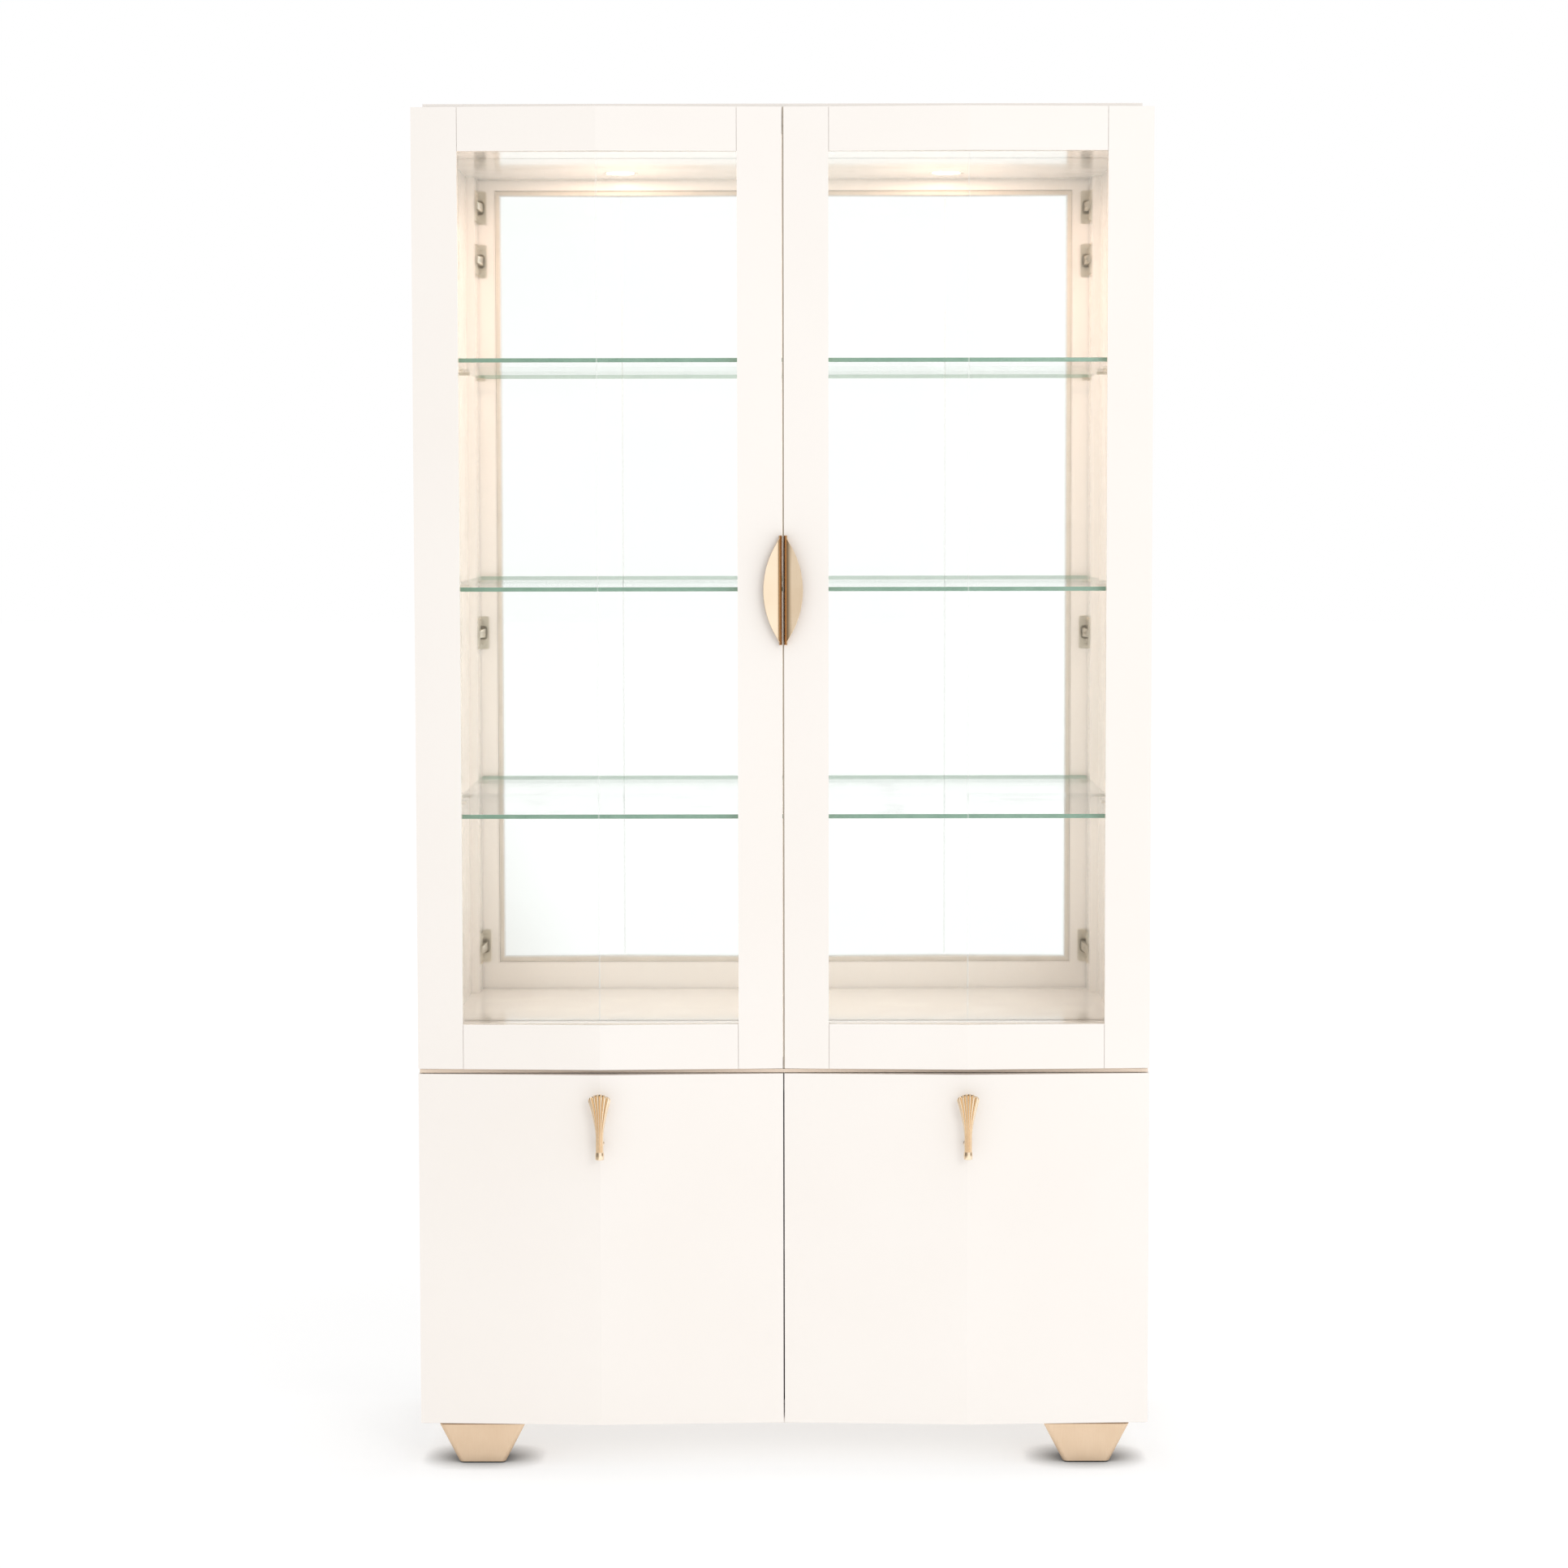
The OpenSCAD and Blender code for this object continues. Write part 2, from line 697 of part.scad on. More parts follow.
fan_screws_of(-1);  // left_fan_screws
hinge_cups(-1, lower_hinges);  // left_lower_hinge_cups
lower_door(1);  // right_lower_door
fan_pull(1);  // right_fan_pull
fan_screws_of(1);  // right_fan_screws
hinge_cups(1, lower_hinges);  // right_lower_hinge_cups
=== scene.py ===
import json
import math

import bmesh
import bpy
from mathutils import Matrix, Vector


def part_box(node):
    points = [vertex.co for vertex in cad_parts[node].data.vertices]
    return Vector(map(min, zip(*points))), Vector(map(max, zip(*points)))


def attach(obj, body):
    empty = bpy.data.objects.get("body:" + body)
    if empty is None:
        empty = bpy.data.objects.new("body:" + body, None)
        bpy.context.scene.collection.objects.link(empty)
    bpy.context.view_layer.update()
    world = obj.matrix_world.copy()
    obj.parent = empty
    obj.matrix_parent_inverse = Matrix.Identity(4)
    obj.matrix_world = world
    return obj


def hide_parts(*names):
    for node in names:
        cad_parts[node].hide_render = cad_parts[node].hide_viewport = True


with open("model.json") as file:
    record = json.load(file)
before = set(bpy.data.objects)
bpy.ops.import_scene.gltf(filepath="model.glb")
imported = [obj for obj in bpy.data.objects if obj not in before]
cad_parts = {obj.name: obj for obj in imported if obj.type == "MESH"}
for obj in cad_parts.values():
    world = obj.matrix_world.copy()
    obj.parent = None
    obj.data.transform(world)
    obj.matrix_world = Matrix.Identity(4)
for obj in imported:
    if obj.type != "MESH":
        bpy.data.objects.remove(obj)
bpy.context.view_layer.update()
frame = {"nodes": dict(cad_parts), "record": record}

NODES = frame["nodes"]
MM = 0.001
SIDES = {"left": -1, "right": 1}

# ---------------------------------------------------------------- helpers


def corner(node, high, axis):
    """One coordinate of a CAD node's box: axis is 0, 1 or 2, and high picks the far end."""
    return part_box(node)[1 if high else 0][axis]


def new_object(name, mesh, body, slot, *materials):
    """A mesh object that rides on a body."""
    obj = bpy.data.objects.new(name, mesh)
    bpy.context.scene.collection.objects.link(obj)
    for material in materials:
        obj.data.materials.append(material)
    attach(obj, body)
    return obj


def finish_bmesh(bm, name, smooth_angle=35):
    """Turns a bmesh into a mesh with clean normals and sharp edges above an angle, in degrees."""
    bmesh.ops.remove_doubles(bm, verts=bm.verts, dist=1e-6)
    bmesh.ops.recalc_face_normals(bm, faces=bm.faces)
    mesh = bpy.data.meshes.new(name)
    bm.to_mesh(mesh)
    bm.free()
    mesh.shade_smooth()
    mesh.set_sharp_from_angle(angle=math.radians(smooth_angle))
    return mesh


def bevel(obj, width, segments=3, angle=30):
    """Rounds an object's sharp edges by width, in metres."""
    mod = obj.modifiers.new("edges", "BEVEL")
    mod.width = width
    mod.segments = segments
    mod.limit_method = "ANGLE"
    mod.angle_limit = math.radians(angle)
    mod.use_clamp_overlap = True
    mod.harden_normals = True


def loft(bm, rings, caps=True):
    """Skins a row of closed rings that have the same number of points."""
    verts = [[bm.verts.new(p) for p in ring] for ring in rings]
    count = len(rings[0])
    for a, b in zip(verts, verts[1:]):
        for i in range(count):
            j = (i + 1) % count
            bm.faces.new((a[i], a[j], b[j], b[i]))
    if caps:
        bm.faces.new(list(reversed(verts[0])))
        bm.faces.new(verts[-1])


def circle(count):
    """Evenly spaced directions once round, as (cosine, sine)."""
    angles = [2 * math.pi * i / count for i in range(count)]
    return [(math.cos(a), math.sin(a)) for a in angles]


def turned_x(bm, y, z, profile, count=20):
    """A turned solid along X: profile is a list of (x, radius)."""
    loft(bm, [[(x, y + r * u, z + r * v) for u, v in circle(count)] for x, r in profile])


def turned_y(bm, x, z, profile, count=24):
    """A turned solid along Y: profile is a list of (y, radius)."""
    loft(bm, [[(x + r * u, y, z + r * v) for u, v in circle(count)] for y, r in profile])


def turned_z(bm, x, y, profile, count=32):
    """A turned solid along Z: profile is a list of (z, radius)."""
    loft(bm, [[(x + r * u, y + r * v, z) for u, v in circle(count)] for z, r in profile])


def rounded_outline(width, height, radius, steps=4):
    """Offsets (u, v) round a rounded rectangle about its middle."""
    points = []
    for u, v, start in ((1, 1, 0), (-1, 1, 90), (-1, -1, 180), (1, -1, 270)):
        for i in range(steps + 1):
            a = math.radians(start + 90 * i / steps)
            points.append((
                u * (width / 2 - radius) + radius * math.cos(a),
                v * (height / 2 - radius) + radius * math.sin(a),
            ))
    return points


def islands(node):
    """The boxes of a CAD node's separate solids, from low to high and then from left to right."""
    bm = bmesh.new()
    bm.from_mesh(NODES[node].data)
    bmesh.ops.remove_doubles(bm, verts=bm.verts, dist=0.01 * MM)
    left = set(bm.verts)
    boxes = []
    while left:
        stack = [left.pop()]
        group = []
        while stack:
            vert = stack.pop()
            group.append(vert.co.copy())
            for edge in vert.link_edges:
                other = edge.other_vert(vert)
                if other in left:
                    left.remove(other)
                    stack.append(other)
        low = Vector([min(co[axis] for co in group) for axis in range(3)])
        high = Vector([max(co[axis] for co in group) for axis in range(3)])
        boxes.append((low, high))
    bm.free()
    return sorted(boxes, key=lambda box: (round(box[0].z, 4), round(box[0].x, 4), round(box[0].y, 4)))


def screw_head(bm, x, y, z, radius, height):
    """Domed screw head with a cross recess, standing on y and facing +Y."""
    arm = 0.62           # half the cross's length, as a share of the radius
    half = 0.15          # half its width
    notch = math.degrees(math.atan2(half, arm))
    angles = [quarter + a for quarter in range(0, 360, 90) for a in (-notch, notch, 25, 45, 65)]

    def cross_reach(angle):
        off = (angle + 45) % 90 - 45
        if abs(off) <= notch + 0.01:
            return arm / math.cos(math.radians(off))
        return half / abs(math.sin(math.radians(off)))

    def ring(scale, rise, cross=False):
        points = []
        for angle in angles:
            r = radius * scale * (cross_reach(angle) if cross else 1.0)
            a = math.radians(angle)
            points.append((x + r * math.cos(a), y + height * rise, z + r * math.sin(a)))
        return points

    loft(bm, [
        ring(1.0, 0.0), ring(1.0, 0.35), ring(0.93, 0.68), ring(0.76, 0.93),
        ring(1.0, 1.0, True), ring(0.88, 0.3, True),
    ])


# ---------------------------------------------------------------- materials


def shader(name, **inputs):
    """A new material's node tree and its Principled shader, with constant sockets set."""
    material = bpy.data.materials.new(name)
    material.use_nodes = True
    tree = material.node_tree
    bsdf = next(n for n in tree.nodes if n.type == "BSDF_PRINCIPLED")
    for key, value in inputs.items():
        bsdf.inputs[key.replace("_", " ")].default_value = value
    return material, tree, bsdf


def noise_node(tree, scale, detail=2.0, rough=0.5, stretch=(1, 1, 1)):
    """Noise over object coordinates, in metres."""
    coords = tree.nodes.new("ShaderNodeTexCoord")
    mapping = tree.nodes.new("ShaderNodeMapping")
    mapping.inputs["Scale"].default_value = stretch
    tree.links.new(coords.outputs["Object"], mapping.inputs["Vector"])
    tex = tree.nodes.new("ShaderNodeTexNoise")
    tex.inputs["Scale"].default_value = scale
    tex.inputs["Detail"].default_value = detail
    tex.inputs["Roughness"].default_value = rough
    tree.links.new(mapping.outputs["Vector"], tex.inputs["Vector"])
    return tex.outputs["Fac"]


# Most of a noise's values lie between these
NOISE_SPAN = (0.3, 0.7)


def ramp(tree, noise, low, high):
    """Spreads a noise between two colours."""
    node = tree.nodes.new("ShaderNodeValToRGB")
    for element, position, colour in zip(node.color_ramp.elements, NOISE_SPAN, (low, high)):
        element.position = position
        element.color = (*colour, 1)
    tree.links.new(noise, node.inputs["Fac"])
    return node.outputs["Color"]


def spread(tree, noise, low, high):
    """Spreads a noise over a range of values."""
    node = tree.nodes.new("ShaderNodeMapRange")
    node.inputs["From Min"].default_value, node.inputs["From Max"].default_value = NOISE_SPAN
    node.inputs["To Min"].default_value = low
    node.inputs["To Max"].default_value = high
    tree.links.new(noise, node.inputs["Value"])
    return node.outputs["Result"]


def mix_sockets(node):
    """The factor, first and second colour and result of a colour mix node."""
    node.data_type = "RGBA"
    named = {socket.identifier: socket for socket in node.inputs}
    return (named["Factor_Float"], named["A_Color"], named["B_Color"],
            next(socket for socket in node.outputs if socket.identifier == "Result_Color"))


def bump(tree, bsdf, source, strength, distance):
    """Bumps a shader by a height factor; distance is in metres."""
    node = tree.nodes.new("ShaderNodeBump")
    node.inputs["Strength"].default_value = strength
    node.inputs["Distance"].default_value = distance
    tree.links.new(source, node.inputs["Height"])
    tree.links.new(node.outputs["Normal"], bsdf.inputs["Normal"])


def lacquer_material(name, low, high, rough=(0.10, 0.17)):
    """Sprayed and polished lacquer: faint cloudy tone, varied gloss and a slight orange peel."""
    material, tree, bsdf = shader(name, Coat_Weight=0.35, Coat_Roughness=0.05)
    clouds = noise_node(tree, 3.0, 3.0)
    tree.links.new(ramp(tree, clouds, low, high), bsdf.inputs["Base Color"])
    tree.links.new(spread(tree, noise_node(tree, 14.0, 4.0), *rough), bsdf.inputs["Roughness"])
    bump(tree, bsdf, noise_node(tree, 420.0, 1.0), 0.05, 0.0004)
    return material


# Distances from the middle plane between which the painted shade beside the seam fades out
SEAM_SHADE_FADE = (4.5 * MM, 10.5 * MM)


def seam_painted_shade(tree, colour, painted_shade):
    """Paints shade into a colour towards the seam between the upper doors, at x = 0, where the crease
    between the leaf's two halves lies in shade.
    """
    coords = tree.nodes.new("ShaderNodeTexCoord")
    axes = tree.nodes.new("ShaderNodeSeparateXYZ")
    tree.links.new(coords.outputs["Object"], axes.inputs["Vector"])
    away = tree.nodes.new("ShaderNodeMath")
    away.operation = "ABSOLUTE"
    tree.links.new(axes.outputs["X"], away.inputs[0])
    fade = tree.nodes.new("ShaderNodeMapRange")
    fade.interpolation_type = "SMOOTHSTEP"
    fade.inputs["From Min"].default_value, fade.inputs["From Max"].default_value = SEAM_SHADE_FADE
    tree.links.new(away.outputs["Value"], fade.inputs["Value"])
    factor, dark, light, result = mix_sockets(tree.nodes.new("ShaderNodeMix"))
    tree.links.new(fade.outputs["Result"], factor)
    dark.default_value = (*painted_shade, 1)
    tree.links.new(colour, light)
    return result


def gold_material(name, low, high, rough, grain=(1, 1, 1), seam=None):
    """Satin champagne gold with fine brushing, and painted shade beside the doors' seam if seam is set."""
    material, tree, bsdf = shader(name, Metallic=1.0)
    tone = noise_node(tree, 22.0, 3.0)
    colour = ramp(tree, tone, low, high)
    # painted shade for the crease's walls beside the seam
    if seam:
        colour = seam_painted_shade(tree, colour, seam)
    tree.links.new(colour, bsdf.inputs["Base Color"])
    brushed = noise_node(tree, 900.0, 2.0, stretch=grain)
    tree.links.new(spread(tree, brushed, *rough), bsdf.inputs["Roughness"])
    bump(tree, bsdf, brushed, 0.12, 0.00006)
    return material


def steel_material(name, low, high, rough):
    """Nickel plated pressed steel."""
    material, tree, bsdf = shader(name, Metallic=1.0)
    tree.links.new(ramp(tree, noise_node(tree, 40.0, 3.0), low, high), bsdf.inputs["Base Color"])
    fine = noise_node(tree, 700.0, 2.0)
    tree.links.new(spread(tree, fine, *rough), bsdf.inputs["Roughness"])
    bump(tree, bsdf, fine, 0.03, 0.00005)
    return material


def plain_material(name, low, high, rough, grain_scale=600.0, strength=0.15, alpha=1.0):
    """Moulded plastic, rubber or polished glass edge with a fine texture."""
    material, tree, bsdf = shader(name, Alpha=alpha)
    tree.links.new(ramp(tree, noise_node(tree, 30.0, 3.0), low, high), bsdf.inputs["Base Color"])
    fine = noise_node(tree, grain_scale, 2.0)
    tree.links.new(spread(tree, fine, *rough), bsdf.inputs["Roughness"])
    bump(tree, bsdf, fine, strength, 0.0001)
    return material


def glass_material(name, low, high, alpha, ior, rough=(0.0, 0.02)):
    """Clear glass: a little of its tint shows, and light passes through to the inside."""
    material, tree, bsdf = shader(name, Transmission_Weight=1.0, IOR=ior, Alpha=alpha, Coat_Weight=1.0)
    tree.links.new(ramp(tree, noise_node(tree, 5.0, 2.0), low, high), bsdf.inputs["Base Color"])
    tree.links.new(spread(tree, noise_node(tree, 9.0, 3.0), *rough), bsdf.inputs["Roughness"])
    path = tree.nodes.new("ShaderNodeLightPath")
    through = tree.nodes.new("ShaderNodeMath")
    through.operation = "MAXIMUM"
    tree.links.new(path.outputs["Is Shadow Ray"], through.inputs[0])
    tree.links.new(path.outputs["Is Diffuse Ray"], through.inputs[1])
    clear = tree.nodes.new("ShaderNodeBsdfTransparent")
    mix = tree.nodes.new("ShaderNodeMixShader")
    tree.links.new(through.outputs["Value"], mix.inputs[0])
    tree.links.new(bsdf.outputs["BSDF"], mix.inputs[1])
    tree.links.new(clear.outputs["BSDF"], mix.inputs[2])
    output = next(n for n in tree.nodes if n.type == "OUTPUT_MATERIAL")
    tree.links.new(mix.outputs["Shader"], output.inputs["Surface"])
    return material


def mirror_material():
    """Silvered glass with the faintest unevenness."""
    material, tree, bsdf = shader("mirror_silver", Metallic=1.0)
    tree.links.new(
        ramp(tree, noise_node(tree, 2.0, 2.0), (0.93, 0.945, 0.935), (0.95, 0.96, 0.95)),
        bsdf.inputs["Base Color"],
    )
    tree.links.new(spread(tree, noise_node(tree, 6.0, 2.0), 0.0, 0.012), bsdf.inputs["Roughness"])
    return material


def lens_material():
    """Frosted diffuser over warm light-emitting diodes."""
    material, tree, bsdf = shader("lens_glow", Roughness=0.5, Emission_Strength=14.0)
    warm = ramp(tree, noise_node(tree, 60.0, 1.0), (1.0, 0.66, 0.36), (1.0, 0.74, 0.45))
    tree.links.new(warm, bsdf.inputs["Base Color"])
    tree.links.new(warm, bsdf.inputs["Emission Color"])
    return material


GOLD_LOW = (0.90, 0.735, 0.545)
GOLD_HIGH = (0.94, 0.785, 0.595)
GOLD_ROUGH = (0.15, 0.22)
UPRIGHT_GRAIN = (1, 1, 0.03)
LACQUER = lacquer_material("lacquer_white", (0.880, 0.833, 0.785), (0.895, 0.853, 0.810))
GOLD = gold_material("gold_satin", GOLD_LOW, GOLD_HIGH, GOLD_ROUGH, UPRIGHT_GRAIN)
# The leaf pull's gold, with painted shade darkening it towards the seam in its crease
GOLD_LEAF_SEAM_SHADE = gold_material("gold_leaf_seam_shade", GOLD_LOW, GOLD_HIGH, GOLD_ROUGH, UPRIGHT_GRAIN, (0.72, 0.50, 0.30))
GOLD_FOOT = gold_material("gold_foot", (0.79, 0.61, 0.435), (0.83, 0.65, 0.475), (0.42, 0.55), (1, 1, 0.05))
STEEL = steel_material("steel_nickel", (0.74, 0.69, 0.59), (0.82, 0.77, 0.67), (0.28, 0.40))
RUBBER = plain_material("rubber_dark", (0.03, 0.03, 0.03), (0.05, 0.05, 0.05), (0.6, 0.8))
WHITE_PLASTIC = plain_material("plastic_white", (0.78, 0.78, 0.76), (0.84, 0.84, 0.82), (0.35, 0.5))
PAD = plain_material("pad_clear", (0.60, 0.60, 0.57), (0.70, 0.70, 0.67), (0.25, 0.4))
DOOR_GLASS = glass_material("glass_door", (0.94, 0.97, 0.95), (0.96, 0.985, 0.97), 0.3, 1.02)
SHELF_GLASS = glass_material("glass_shelf", (0.93, 0.975, 0.955), (0.945, 0.985, 0.965), 0.4, 1.04)
GLASS_EDGE = plain_material(
    "glass_edge", (0.195, 0.335, 0.25), (0.235, 0.375, 0.29), (0.12, 0.25),
    grain_scale=200.0, strength=0.05,
)
# Faintly opaque white bead: partly the bonded seam, partly a painted highlight along each door's glass ridge
GLASS_JOINT_HIGHLIGHT = plain_material(
    "glass_joint_highlight", (0.90, 0.93, 0.91), (0.95, 0.97, 0.95), (0.08, 0.18),
    grain_scale=300.0, strength=0.04, alpha=0.15,
)
# The same white lacquer darkened to beige: painted shade for the middle rail, which lies deep in the gap
# between the upper and lower doors
LACQUER_PAINTED_SHADE = lacquer_material("lacquer_painted_shade", (0.88, 0.74, 0.61), (0.90, 0.76, 0.63))
# Grey-beige on the glass stops: painted shade for the recess of the glass rebate round the door panes
GLASS_STOP_PAINTED_SHADE = plain_material("glass_stop_painted_shade", (0.68, 0.63, 0.56), (0.73, 0.68, 0.61), (0.4, 0.6))
SEAL = plain_material("seal_beige", (0.60, 0.54, 0.46), (0.65, 0.59, 0.50), (0.45, 0.6))
MIRROR = mirror_material()
LENS = lens_material()
BY_SLOT = {
    "lacquer": LACQUER,
    "mirror": MIRROR,
    "shelf_glass": SHELF_GLASS,
    "door_glass": DOOR_GLASS,
    "gold": GOLD,
    "steel": STEEL,
    "rubber": RUBBER,
    "white_plastic": WHITE_PLASTIC,
    "lens": LENS,
}

# ---------------------------------------------------------------- CAD nodes

SOFT_EDGE = 0.9 * MM
DOOR_EDGE = 3.0 * MM
FINE_EDGE = 0.35 * MM
METAL_EDGE = 0.4 * MM
NO_BEVEL = ("mirror", "shelf_glass", "door_glass", "lens")
BY_NODE = {"upper_door_seal": SEAL, "middle_rail": LACQUER_PAINTED_SHADE}
BY_ENDING = {"_foot": GOLD_FOOT, "_glass_stops": GLASS_STOP_PAINTED_SHADE}


def material_for(name, slot):
    """A node's own material where it has one, or else its slot's."""
    for ending, material in BY_ENDING.items():
        if name.endswith(ending):
            return material
    return BY_NODE.get(name, BY_SLOT[slot])


def dress_cad_nodes():
    """Gives every CAD node its material, and rounds the edges that a hand would feel."""
    slots = {part["node"]: part["material_slot"] for part in frame["record"]["subparts"]}
    for name, obj in NODES.items():
        slot = slots[name]
        obj.data.materials.clear()
        obj.data.materials.append(material_for(name, slot))
        if slot in NO_BEVEL:
            continue
        if slot != "lacquer":
            bevel(obj, METAL_EDGE, 2)
        elif "_rail" in name or "middle" in name:
            bevel(obj, FINE_EDGE)
        else:
            bevel(obj, DOOR_EDGE if name.endswith("lower_door") else SOFT_EDGE)


# ---------------------------------------------------------------- glass


def add_shelf(node):
    """A glass shelf whose polished front edge looks green."""
    low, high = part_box(node)
    chamfer = 0.3 * MM
    radius = 3.0 * MM
    x, y = (low[0] + high[0]) / 2, (low[1] + high[1]) / 2
    bm = bmesh.new()
    rings = []
    for z, inset in ((low[2], chamfer), (low[2] + chamfer, 0), (high[2] - chamfer, 0), (high[2], chamfer)):
        width, depth = high[0] - low[0] - 2 * inset, high[1] - low[1] - 2 * inset
        outline = rounded_outline(width, depth, radius - inset)
        rings.append([(x + u, y + v, z) for u, v in outline])
    loft(bm, rings)
    for face in bm.faces:
        edge = len(face.verts) == 4 and face.calc_center_median().y < low[1] + radius
        face.material_index = 1 if edge else 0
    name = node + "_glass"
    shelf = new_object(name, finish_bmesh(bm, name), "cabinet", "shelf_glass", SHELF_GLASS, GLASS_EDGE)
    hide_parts(node)


def add_ridge_joint(side):
    """The clear bonded seam where a door's two panes meet, whose faint pale colour is a painted highlight
    for the bright line along the ridge.
    """
    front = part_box(f"{side}_upper_glass")[0][1]
    top = corner(f"{side}_upper_top_rail", False, 2)
    bottom = corner(f"{side}_upper_bottom_rail", True, 2)
    outer_edge = abs(corner(f"{side}_lower_door", side == "right", 0))
    ridge_shift = 1 * MM
    ridge_x = SIDES[side] * (outer_edge / 2 + ridge_shift)
    radius = 1.2 * MM
    proud = 0.6 * MM
    sunk = 0.15 * MM
    end_gap = 3.5 * MM
    taper = ((0, 0.2), (0.6 * MM, 0.7), (1.6 * MM, 1.0))
    rows = [(bottom + end_gap + run, scale) for run, scale in taper]
    rows += [(top - end_gap - run, scale) for run, scale in reversed(taper)]
    steps = 8
    angles = [math.pi * i / steps for i in range(steps + 1)]
    bm = bmesh.new()
    loft(bm, [
        [(ridge_x + radius * scale * math.cos(a), front + sunk - (proud * scale + sunk) * math.sin(a), z)
         for a in angles]
        for z, scale in rows
    ])
    mesh = finish_bmesh(bm, "glass_joint_highlight", 60)
    new_object(f"{side}_glass_joint_highlight", mesh, f"{side}_upper_door", "door_glass", GLASS_JOINT_HIGHLIGHT)


# ---------------------------------------------------------------- pulls

LEAF_ROWS = 32
LEAF_STEPS = 28
LEAF_TAB = 3.4 * MM         # width of the narrow ends, above and below the wing
LEAF_TAB_H = 4.5 * MM
LEAF_STAND = 6 * MM         # how far the wall goes straight out from the door
LEAF_BEND = 11 * MM         # radius of the bend
LEAF_RISE = math.radians(6)
LEAF_WALL = 2.2 * MM
LEAF_POST_R = 4.0 * MM
LEAF_POST_FLANGE_R = 5.5 * MM


def leaf_section(reach):
    """Points (across, out) round the leaf's plan section, cut off at a distance from its seam side."""
    sweep = math.pi / 2 - LEAF_RISE
    bend_reach = LEAF_BEND * (1 - math.cos(sweep))
    if reach < bend_reach:
        length = LEAF_STAND + LEAF_BEND * math.acos(1 - reach / LEAF_BEND)
    else:
        length = LEAF_STAND + LEAF_BEND * sweep + (reach - bend_reach) / math.cos(LEAF_RISE)
    front = []
    back = []
    for i in range(LEAF_STEPS + 1):
        s = length * i / LEAF_STEPS
        turn = min(max((s - LEAF_STAND) / LEAF_BEND, 0), sweep)
        across = LEAF_BEND * (1 - math.cos(turn))
        out = min(s, LEAF_STAND) + LEAF_BEND * math.sin(turn)
        beyond = max(s - LEAF_STAND - LEAF_BEND * sweep, 0)
        across += beyond * math.sin(turn)
        out += beyond * math.cos(turn)
        front.append((across, out))
        back.append((across + LEAF_WALL * math.cos(turn), out - LEAF_WALL * math.sin(turn)))
    return front + back[::-1]


def add_leaf_pull(side):
    """Half of the leaf pull: a wall beside the seam that bends into a leaf-shaped wing."""
    node = f"{side}_leaf_pull"
    low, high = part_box(node)
    turn = SIDES[side]
    seam = min(abs(low[0]), abs(high[0]))
    width = max(abs(low[0]), abs(high[0])) - seam
    middle = (low[2] + high[2]) / 2
    half_h = (high[2] - low[2]) / 2
    chord = half_h - LEAF_TAB_H
    rise = width - LEAF_TAB
    arc_r = (chord * chord + rise * rise) / (2 * rise)
    rows = [(-half_h, LEAF_TAB), (-chord - 0.3 * MM, LEAF_TAB)]
    for i in range(LEAF_ROWS + 1):
        h = chord * math.sin(math.pi * (i / LEAF_ROWS - 0.5))
        rows.append((h, width - arc_r + math.sqrt(arc_r * arc_r - h * h)))
    rows += [(chord + 0.3 * MM, LEAF_TAB), (half_h, LEAF_TAB)]
    bm = bmesh.new()
    loft(bm, [
        [(turn * (seam + across), high[1] - out, middle + h) for across, out in leaf_section(reach)]
        for h, reach in rows
    ])
    foot = high[1] - 0.4 * MM
    tip = high[1] - LEAF_STAND - LEAF_BEND + LEAF_WALL
    for start, end in islands(f"{side}_leaf_screws"):
        turned_y(bm, (start.x + end.x) / 2, (start.z + end.z) / 2, (
            (foot, LEAF_POST_FLANGE_R), (foot - 1.2 * MM, LEAF_POST_FLANGE_R),
            (foot - 1.8 * MM, LEAF_POST_R + 0.2 * MM), (tip, LEAF_POST_R),
        ))
    name = node + "_plate"
    pull = new_object(name, finish_bmesh(bm, name, 40), f"{side}_upper_door", "gold", GOLD_LEAF_SEAM_SHADE)
    bevel(pull, FINE_EDGE, 2, 50)
    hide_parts(node)


FLUTES = 6
FLUTE_STEPS = 10
FLUTE_DEPTH = 0.46          # depth of the valleys between flutes, as a share of a flute's width
FLUTE_NOTCH = 3.0 * MM      # how far the valleys cut into the crown
FAN_ROWS = 26
FAN_DEPTH = 9.5 * MM        # front to back at the stem
FAN_THINNING = 0.3          # share of that depth lost at the crown
FAN_STEM_HALF = 5.9 * MM
FAN_STEM_SHARE = 0.30       # share of the height below the flare
FAN_FLARE = 1.6
FAN_ARCH = 3.4 * MM         # how far the front curves back at the sides
FAN_DROOP = 6.5 * MM        # how much lower the crown is at the sides
FAN_ROUND = 1.6 * MM        # rounding of the crown's edge
FAN_CURLS = (1, 25, 50, 72, 86)
FAN_PINCH = 0.06            # share of the width lost where the crown's edge closes
FAN_VALLEY_END = 0.38       # share of the depth behind the middle that no valley passes
FAN_BACK_STEPS = 6
FAN_BACK_SHARE = 0.96       # the back's width as a share of the front's
FAN_BACK_ROUND = 1.0 * MM
FAN_CAP_R = 6.5 * MM
FAN_CAP_H = 12 * MM
FAN_POST_R = 4.3 * MM
FAN_POST_FLANGE_R = 6.2 * MM


